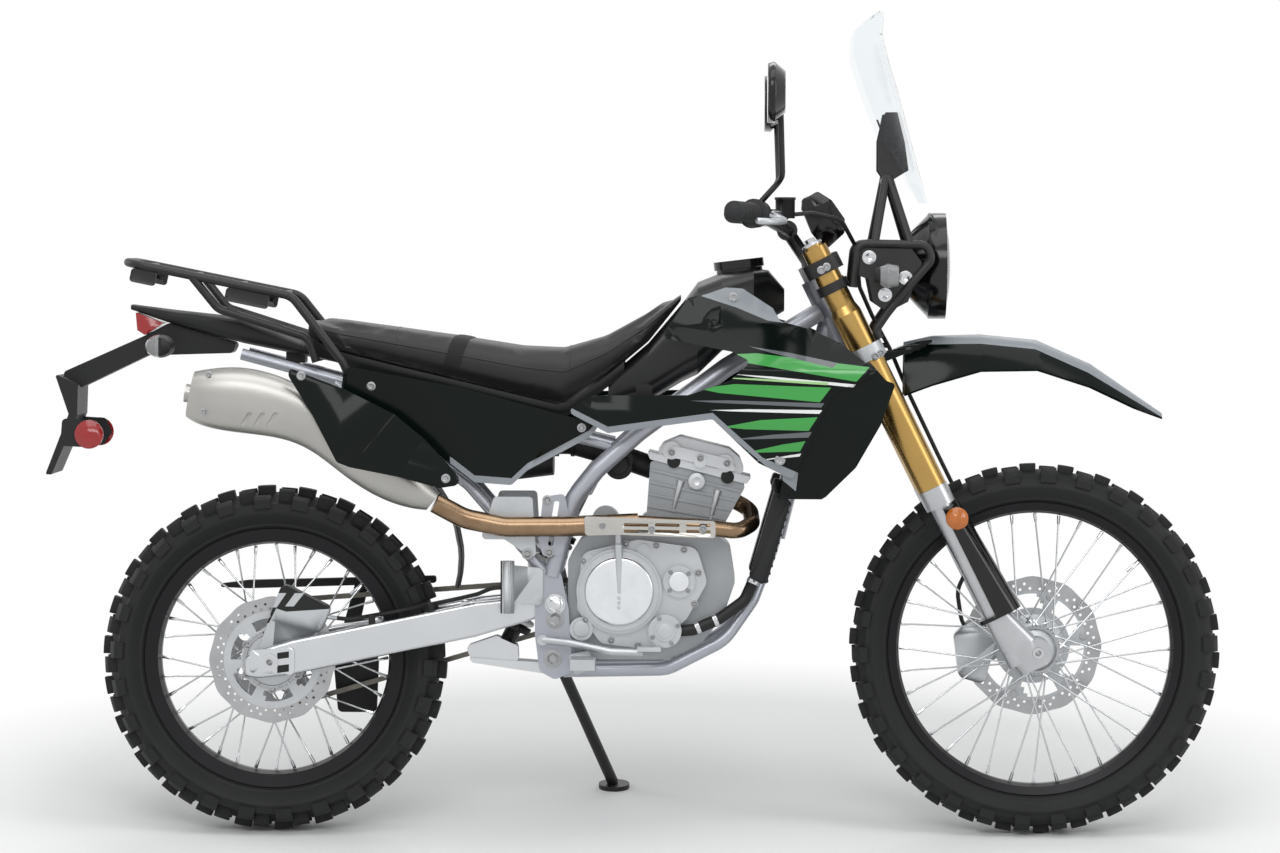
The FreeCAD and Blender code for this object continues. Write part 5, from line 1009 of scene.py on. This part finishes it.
shroudShapes = [(index, barOutline(front, rear, width)) for index, front, rear, width in shroudGraphic["bars"]]
shroudShapes += [(5, outline) for outline in shroudGraphic["greys"]]
coverShapes = [(1, [(xa, za - coverBand["below"]), (xb, zb - coverBand["below"]), (xb, zb + coverBand["above"]),
                    (xa, za + coverBand["above"])])
               for (xa, za), (xb, zb) in zip(coverBand["line"], coverBand["line"][1:])]
paintPanel("tank_shrouds", "printed_shrouds", "chassis", shroudGraphic["finishes"], shroudShapes,
           facesOut)
paintPanel("side_covers", "printed_side_covers", "chassis", [glossPanel, greyPlastic], coverShapes,
           facesOut)
paintPanel("front_fender", "front_mudguard", "steering", [glossPanel, greyPlastic],
           [(1, fenderTop)], lambda spot, normal: normal.z > 0.05)
paintPanel("rear_brake", "rear_brake_and_hose", "chassis", [castAlloy, hoseRubber, blackPlastic],
           [(2, [(2, 480), (-30, 480), (-30, 396), (-5, 398), (9, 426), (28, 420), (118, 426), (118, 480)]),
            (0, [(12, 455), (28, 455), (10, 428), (-4, 428)]), (0, [(44, 455), (62, 455), (42, 430), (26, 430)]),
            (1, [(124, 380), (436, 380), (436, 620), (124, 620)])], lambda spot, normal: True)
paintPanel("swingarm", "polished_swingarm", "chassis", [swingAlloy, blackPlastic],
           [(1, [(14, 345), (36, 348), (36, 336), (14, 333)]), (1, [(14, 321), (36, 324), (36, 310), (14, 307)])],
           lambda spot, normal: abs(normal.y) > 0.9)
print("panels trimmed")


# solids that carry more than one finish: each rule picks it from a face's middle, in upright
# millimetres, and its normal

shock = {"foot": Vector((433, 0, 343)), "top": Vector((587, 0, 656)), "rodRadius": 20.8, "coils": (59, 236)}
hand = {"barEnd": (867, 400), "gripSweep": 50 / 150, "gripInner": 290, "leverAhead": 30, "leverInner": 262}
forkGuard = {"flare": 0.017, "from": 545, "to": 800, "ramp": 60, "front": 30, "reflectorSide": 0.1405}


def springOrDamper(spot, normal):
    along = (shock["top"] - shock["foot"]).normalized()
    offset = spot - shock["foot"]
    reach = offset.dot(along)
    start, stop = shock["coils"]
    return 0 if (offset - along * reach).length > shock["rodRadius"] and start < reach < stop else 1


def gripOrLever(spot, normal):
    across = abs(spot.y)
    barX, barHalf = hand["barEnd"]
    ahead = spot.x - (barX + (barHalf - across) * hand["gripSweep"])
    if ahead > hand["leverAhead"] and across > hand["leverInner"]:
        return 2
    return 0 if across > hand["gripInner"] else 1


def makeForkGuards():
    # the moulded guards flare forward over the leg and taper to the axle
    bm = uprightCopy("fork_guards")
    for vert in bm.verts:
        offset = vert.co - headPoint
        forward, along = offset.dot(forkFront) * 1000, offset.dot(forkUp) * 1000
        share = (max(0.0, min(1.0, (-along - forkGuard["from"]) / forkGuard["ramp"]))
                 * max(0.0, min(1.0, (forkGuard["to"] + along) / forkGuard["ramp"])))
        if forward > forkGuard["front"]:
            vert.co += forkFront * forkGuard["flare"] * share
    for side in (right, left):
        cutPlane(bm, side * forkGuard["reflectorSide"], left)
    for face in bm.faces:
        face.material_index = 1 if abs(face.calc_center_median().y) > forkGuard["reflectorSide"] else 0
    finishPiece(bm, "fork_leg_guards", [glossBlack, amberLens], "steering", ("fork_guards",),
                turnOut=False)


makeForkGuards()
refinish("rear_shock", "shock_and_spring", "chassis", [springWhite, blackSteel], springOrDamper)
refinish("rear_lamps", "tail_and_signal_lamps", "chassis", [redLens, blackPlastic, paleLens],
         lambda spot, normal: 0 if abs(spot.y) < 47 or spot.z < 800 else 2 if spot.x < -205 and abs(spot.y) > 96 else 1,
         cutAtX=-205)
refinish("front_signals", "front_signal_lamps", "steering", [blackPlastic, paleLens],
         lambda spot, normal: 1 if spot.x > 1139 and abs(spot.y) > 145 else 0, cutAtX=1139)
refinish("exhaust_guards", "heat_shields", "chassis", [stainless, glossPanel],
         lambda spot, normal: 1 if spot.y < -182 or spot.x < 400 else 0)
refinish("mirrors", "rear_view_mirrors", "steering", [glossBlack, mirrorGlass, blackSteel],
         lambda spot, normal: 1 if normal.x < -0.92 and spot.z > 1317 else 2 if spot.z < 1332 else 0)
refinish("headlamp", "headlamp_shell", "steering", [glossBlack, reflectorSilver],
         lambda spot, normal: 1 if spot.x > 1251 and Vector((spot.y, spot.z - 1074)).length < 91 else 0)
refinish("hand_controls", "grips_and_levers", "steering", [gripRubber, blackPlastic, castAlloy],
         gripOrLever)
refinish("radiators", "radiators_and_hose", "chassis", [radiatorBlack, hoseRubber],
         lambda spot, normal: 1 if spot.z < 470 else 0)
refinish("instrument_panel", "instrument_case", "steering", [glossBlack, displayGlass],
         lambda spot, normal: 1 if normal.x < -0.2 and normal.z > 0.3 and abs(spot.y) < 57 else 0)
refinish("fork_clamps", "triple_clamps", "steering", [blackSteel, castAlloy],
         lambda spot, normal: 1 if spot.z < 990 else 0)
refinish("front_caliper", "front_brake_caliper", "steering", [castAlloy, bronzePiston],
         lambda spot, normal: 1 if abs(normal.y) > 0.9 and 49 < spot.y < 58 else 0)
print("finishes split")


# engine: turned and cast details on its right side

ribAxis = Vector((-0.246, 0, -0.969))
engineTrim = {
    # finish and slot, then each disc's place, direction, radius, height, edge, segments and top radius
    "barrel_bosses": (headAlloy, "engine_alloy", [
        (mm(762, 640, -64) - ribAxis * 0.030, ribAxis, 0.0075, 0.062, 0.001, 24, 0.003),
        (mm(832, 622, -64) - ribAxis * 0.030, ribAxis, 0.0075, 0.062, 0.001, 24, 0.003),
        (mm(799, 668, -66), right, 0.0160, 0.010, 0.0012)]),
    "head_plugs_and_throttle_cover": (blackPlastic, "black_plastic", [
        (mm(756, 705, -70.2), right, 0.0125, 0.0012, 0.0004), (mm(857, 676, -70.2), right, 0.0125, 0.0012, 0.0004),
        (mm(652, 696, -22), right, 0.0265, 0.030, 0.003, 48), (mm(652, 696, -52), right, 0.0180, 0.005, 0.002, 48),
        (mm(560, 737, -2), frontward, 0.0262, 0.008, 0.001, 48),
        (mm(530, 737, -2), frontward, 0.0262, 0.008, 0.001, 48)]),
    "turned_clutch_lid": (turnedAluminium, "cover_alloy", [
        (mm(655, 464, -124.2), right, 0.0665, 0.0145, 0.0045, 96, 0.0635),
        (mm(767, 482, -124), right, 0.0185, 0.0052, 0.001, 64)]),
    "clutch_lever_post": (coverPaint, "cover_alloy", [
        (mm(653.5, 552, -135.5), Vector((0.02, 0, -1)), 0.0082, 0.092, 0.001, 32, 0.0042),
        (mm(653, 584, -133.5), Vector((0, 0.05, -1)), 0.0068, 0.034, 0.001, 32),
        (mm(655, 452, -138.4), right, 0.0036, 0.0026, 0.0006, 20),
        (mm(655, 443, -138.4), right, 0.0036, 0.0026, 0.0006, 20),
        (mm(655, 434, -138.4), right, 0.0036, 0.0026, 0.0006, 20),
        (mm(741, 390, -141.2), right, 0.0140, 0.0018, 0.0006), (mm(584, 392, -119.2), right, 0.0150, 0.003, 0.001)]),
}

for name, (finish, slot, discList) in engineTrim.items():
    bm = bmesh.new()
    for disc in discList:
        addDisc(bm, *disc)
    if name == "barrel_bosses":
        addBolt(bm, mm(799, 668, -76), right, 0.0085, 0.004)
    finishPiece(bm, name, finish, "chassis", turnOut=False)


# bolts that seat on a solid: name, the node, head radius and height, (X, Z) places in millimetres

def ringOf(x, z, radius, turns):
    return [(x + radius * math.cos(turn), z + radius * math.sin(turn)) for turn in turns]


boltSets = {
    "right": [
        ("clutch_cover_bolts", "engine_covers", 0.0045, 0.005,
         [(588, 520), (668, 552), (724, 549), (776, 541), (803, 498), (796, 440), (592, 410), (640, 371), (690, 362)]),
        ("small_cover_bolts", "engine_covers", 0.003, 0.003,
         ringOf(767, 482, 24, (0.7, 2.3, 3.9, 5.5)) + ringOf(741, 390, 26, (0.4, 2.0, 3.6, 5.2))),
        ("heat_shield_bolts", "exhaust_guards", 0.0045, 0.004, [(624, 589), (716, 583), (812, 584)]),
        ("bracket_bolts", "frame", 0.006, 0.005, [(520, 634), (524, 536)]),
        ("muffler_bolts", "muffler", 0.0045, 0.004, [(-104, 868), (-112, 800)]),
        ("muffler_guard_bolts", "exhaust_guards", 0.0055, 0.004, [(68, 868), (336, 679)]),
    ],
    "left": [("generator_cover_bolts", "engine_covers", 0.0045, 0.004,
              ringOf(752, 478, 58, (0.3, 1.35, 2.4, 3.45, 4.5, 5.55)))],
    "both": [
        ("head_lid_bolts", "cylinder_head", 0.0045, 0.006, [(752, 722), (806, 712), (856, 702)]),
        ("frame_bolts", "frame", 0.0115, 0.008, [(531, 336), (535, 410)]),
        ("hanger_bolts", "footpegs", 0.007, 0.005, [(440, 584), (483, 533)]),
        ("shroud_bolts", "tank_shrouds", 0.0065, 0.004, [(867, 1014), (954, 714)]),
        ("side_cover_bolts", "side_covers", 0.0055, 0.004, [(190, 846), (584, 770)]),
    ],
}
rightTagged = ("shroud_bolts", "side_cover_bolts")  # both of their names say the side

for sides, rows in boltSets.items():
    for name, nodeName, radius, height, places in rows:
        if sides != "left":
            seatBolts(name + ("_right" if name in rightTagged else ""), "chassis", radius, height, nodeName, places,
                      right)
        if sides != "right":
            seatBolts(name + ("_left" if sides == "both" else ""), "chassis", radius, height, nodeName, places, left)
seatBolts("caliper_bolts", "steering", 0.006, 0.005, "front_caliper", [(1380, 372), (1346, 384)], left)
seatBolts("clamp_bolts_upper", "steering", 0.005, 0.004, "fork_clamps", [(1030, 1066), (1040, 1072)], right)
seatBolts("clamp_bolts_lower", "steering", 0.005, 0.004, "fork_clamps", [(1132, 906), (1142, 912)], right)
boltRow("pivot_bolt_heads", "chassis", platedSteel, 0.0125, 0.009, [mm(535, 438, -117.2)], right)
boltRow("pivot_bolt_heads_left", "chassis", platedSteel, 0.0125, 0.009, [mm(535, 438, 117.2)], left)
boltRow("lamp_bracket_bolts", "steering", platedSteel, 0.0085, 0.005,
        [mm(1188, 1052, -117.4), mm(1150, 1020, -117.4), mm(1120, 1090, -117.4)], right)


# rear axle nuts, bored so that the axle's hole stays open

axleNut = {"outer": 0.0175, "bore": 0.0102, "height": 0.0098, "side": 0.121}


def makeAxleNuts():
    bm = bmesh.new()
    for side in (right, left):
        turn = aimed(rearAxle + side * axleNut["side"], side)
        hexagon = bmesh.ops.create_circle(bm, segments=6, radius=axleNut["outer"], matrix=turn)
        bore = bmesh.ops.create_circle(bm, segments=24, radius=axleNut["bore"], matrix=turn)
        made = bmesh.ops.bridge_loops(bm, edges=edgesOf({"verts": hexagon["verts"] + bore["verts"]}))
        walls = bmesh.ops.extrude_face_region(bm, geom=made["faces"])
        bmesh.ops.translate(bm, verts=[v for v in walls["geom"] if isinstance(v, bmesh.types.BMVert)],
                            vec=side * axleNut["height"])
    finishPiece(bm, "rear_axle_nuts", platedSteel, "chassis")


# a rubber flap hangs from the air box ahead of the rear tyre: X, Z and half width in millimetres

mudFlap = {"line": [(262, 700, 44), (300, 664, 46), (334, 610, 46), (352, 556, 44), (356, 500, 40), (350, 462, 34)],
           "columns": (-1, -0.66, -0.33, 0, 0.33, 0.66, 1), "bow": 7, "thickness": 0.0026}


def makeMudFlap():
    bm = bmesh.new()
    bridgeRows(bm, [addRow(bm, [mm(x - mudFlap["bow"] * (1 - share ** 2), z, half * share)
                                for share in mudFlap["columns"]]) for x, z, half in mudFlap["line"]])
    bmesh.ops.subdivide_edges(bm, edges=bm.edges[:], cuts=2, smooth=1.0, use_grid_fill=True)
    thicken(bm, mudFlap["thickness"])
    finishPiece(bm, "mud_flap", hoseRubber, "chassis", angle=50)


makeAxleNuts()
makeMudFlap()
print("engine and fasteners made")


# plates that close the lamp bracket's sides

lampPlate = {"outline": [(1098, 1115), (1193, 1115), (1219, 1080), (1193, 1007), (1156, 988), (1128, 1007),
                         (1119, 1050), (1092, 1060)], "side": 113.5, "thickness": 0.004, "rim": 0.004, "dish": 0.001}


def makeLampPlates():
    bm = bmesh.new()
    for sign in (1, -1):
        plate = bm.faces.new([bm.verts.new(mm(x, z, lampPlate["side"] * sign)) for x, z in lampPlate["outline"]])
        bmesh.ops.inset_region(bm, faces=[plate], thickness=lampPlate["rim"], use_even_offset=True,
                               depth=lampPlate["dish"] * sign)
    thicken(bm, lampPlate["thickness"])
    finishPiece(bm, "lamp_side_plates", blackSteel, "steering", angle=20)


# fork top caps, rack lugs and hose clamps

trim = {"forkSide": 105, "rackLugs": [(-265, -216, 1030, 1067), (-87, -4, 990, 1029)], "rackSide": 100,
        "rackSlope": 11.5, "lugSize": (0.006, 0.026), "hose": [(914, 500, -100), (890, 446, -104), (842, 412, -120),
                                                               (795, 392, -125)],
        "clamps": [(2, 0.15), (2, 0.85), (0, 0.35)],  # the hose's run and the share along it
        "lugCorner": 0.006, "lugRim": 0.005, "lugDish": 0.0015, "capPlace": (19, 40),
        "cap": (0.0205, 0.0045, 0.001), "capScrew": (0.0095, 0.007),
        "band": (0.0122, 0.008, 0.0006, 32), "bandScrew": (0.003, 0.006), "bandTop": 0.0125}


def makeForkCaps():
    tree = nodeTree("fork_uppers")
    bm = bmesh.new()
    for sign in (1, -1):
        spot = onSurface(tree, onFork(*trim["capPlace"], trim["forkSide"] * sign), -forkUp, 0.0)
        if spot:
            addDisc(bm, spot, forkUp, *trim["cap"])
            addBolt(bm, spot + forkUp * trim["cap"][1], forkUp, *trim["capScrew"])
    finishPiece(bm, "fork_caps", platedSteel, "steering", turnOut=False)


def makeRackLugs():
    bm = bmesh.new()
    for sign in (1, -1):
        for rearEnd, frontEnd, low, high in trim["rackLugs"]:
            middle = (rearEnd + frontEnd) / 2
            made = bmesh.ops.create_cube(bm, size=1, matrix=Matrix.Translation(
                mm(middle, (low + high) / 2, trim["rackSide"] * sign))
                @ Matrix.Rotation(math.radians(trim["rackSlope"]), 4, "Y")
                @ Matrix.Diagonal(((frontEnd - rearEnd) / 1000, *trim["lugSize"], 1)))
            roundEdges(bm, [e for e in edgesOf(made) if follows(e, left) > 0.9], trim["lugCorner"])
            outer = [f for f in bm.faces if abs(f.normal.y) > 0.9 and len(f.verts) > 4
                     and abs(f.calc_center_median().x - middle / 1000) < 0.02]
            bmesh.ops.inset_region(bm, faces=outer, thickness=trim["lugRim"], use_even_offset=True)
            for face in outer:
                bmesh.ops.translate(bm, verts=face.verts[:], vec=-face.normal * trim["lugDish"])
    finishPiece(bm, "rack_lugs", blackSteel, "chassis", turnOut=False)


def makeHoseClamps():
    bm = bmesh.new()
    corners = [mm(x, z, y) for x, z, y in trim["hose"]]
    for run, share in trim["clamps"]:
        start, stop = corners[run:run + 2]
        middle = start.lerp(stop, share)
        along = (stop - start).normalized()
        addDisc(bm, middle - along * (trim["band"][1] / 2), along, *trim["band"])
        addBolt(bm, middle + right * trim["bandTop"], Vector((0, 0, 1)), *trim["bandScrew"])
    finishPiece(bm, "hose_clamps", platedSteel, "chassis", turnOut=False)


# bar grips with raised ribs

grips = {"end": Vector((0.867, 0, 1.174)), "half": 0.400, "inner": Vector((0.917, 0, 1.170)), "innerHalf": 0.250,
         "ribs": 11, "ribRadius": 0.0186, "ribWidth": 0.006, "ribPitch": 0.0105, "ribStart": 0.004, "ribEdge": 0.0015,
         "cap": (0.0183, 0.0048, 0.002), "capSunk": 0.001}


def makeGrips():
    bm = bmesh.new()
    for side in (left, right):
        end = grips["end"] + side * grips["half"]
        along = (grips["inner"] + side * grips["innerHalf"] - end).normalized()
        for index in range(grips["ribs"]):
            rib = bmesh.ops.create_cone(bm, cap_ends=True, segments=36, radius1=grips["ribRadius"],
                                        radius2=grips["ribRadius"], depth=grips["ribWidth"],
                                        matrix=aimed(end + along * (grips["ribStart"] + grips["ribPitch"] * index),
                                                     along))
            roundEdges(bm, [e for e in edgesOf(rib) if follows(e, along) < 0.2], grips["ribEdge"], 2)
        addDisc(bm, end - along * grips["capSunk"], -along, *grips["cap"])
    finishPiece(bm, "grip_ribs", gripRubber, "steering", turnOut=False)


makeLampPlates()
makeForkCaps()
makeRackLugs()
makeHoseClamps()
makeGrips()
print("trim and grips made")


# floor, pure white in the distance and shaded near the tyres

floorLook = {"colour": "f4f5f5", "fadeScale": (0.62, 0.95, 1), "fadeEnd": 0.30, "radius": 12}
floorPaper = bpy.data.materials.new("studio_floor_paper")
floorPaper.use_nodes = True
floorNodes = floorPaper.node_tree.nodes
paper = floorNodes["Principled BSDF"]
paper.inputs["Base Color"].default_value = paint(floorLook["colour"])
paper.inputs["Roughness"].default_value = 0.9
paper.inputs["Specular IOR Level"].default_value = 0.0
glow = addNode(floorPaper, "ShaderNodeEmission", Color=(1, 1, 1, 1))
coords = addNode(floorPaper, "ShaderNodeTexCoord")
squash = addNode(floorPaper, "ShaderNodeMapping", Scale=floorLook["fadeScale"])
fade = addNode(floorPaper, "ShaderNodeTexGradient", gradient_type="SPHERICAL")
blend = addNode(floorPaper, "ShaderNodeMapRange",
                **{"From Min": 0.0, "From Max": floorLook["fadeEnd"], "To Min": 1.0, "To Max": 0.0})
mixer = addNode(floorPaper, "ShaderNodeMixShader")
connect(floorPaper, coords, "Object", squash, "Vector")
connect(floorPaper, squash, "Vector", fade, "Vector")
connect(floorPaper, fade, "Fac", blend, "Value")
connect(floorPaper, blend, "Result", mixer, "Fac")
connect(floorPaper, paper, "BSDF", mixer, 1)
connect(floorPaper, glow, "Emission", mixer, 2)
connect(floorPaper, mixer, "Shader", floorNodes["Material Output"], "Surface")
bm = bmesh.new()
bmesh.ops.create_circle(bm, cap_ends=True, segments=64, radius=floorLook["radius"])
floorMesh = bpy.data.meshes.new("studio_floor")
bm.to_mesh(floorMesh)
bm.free()
floorMesh.materials.append(floorPaper)
floor = newObject("studio_floor", floorMesh)

print("scene ready")
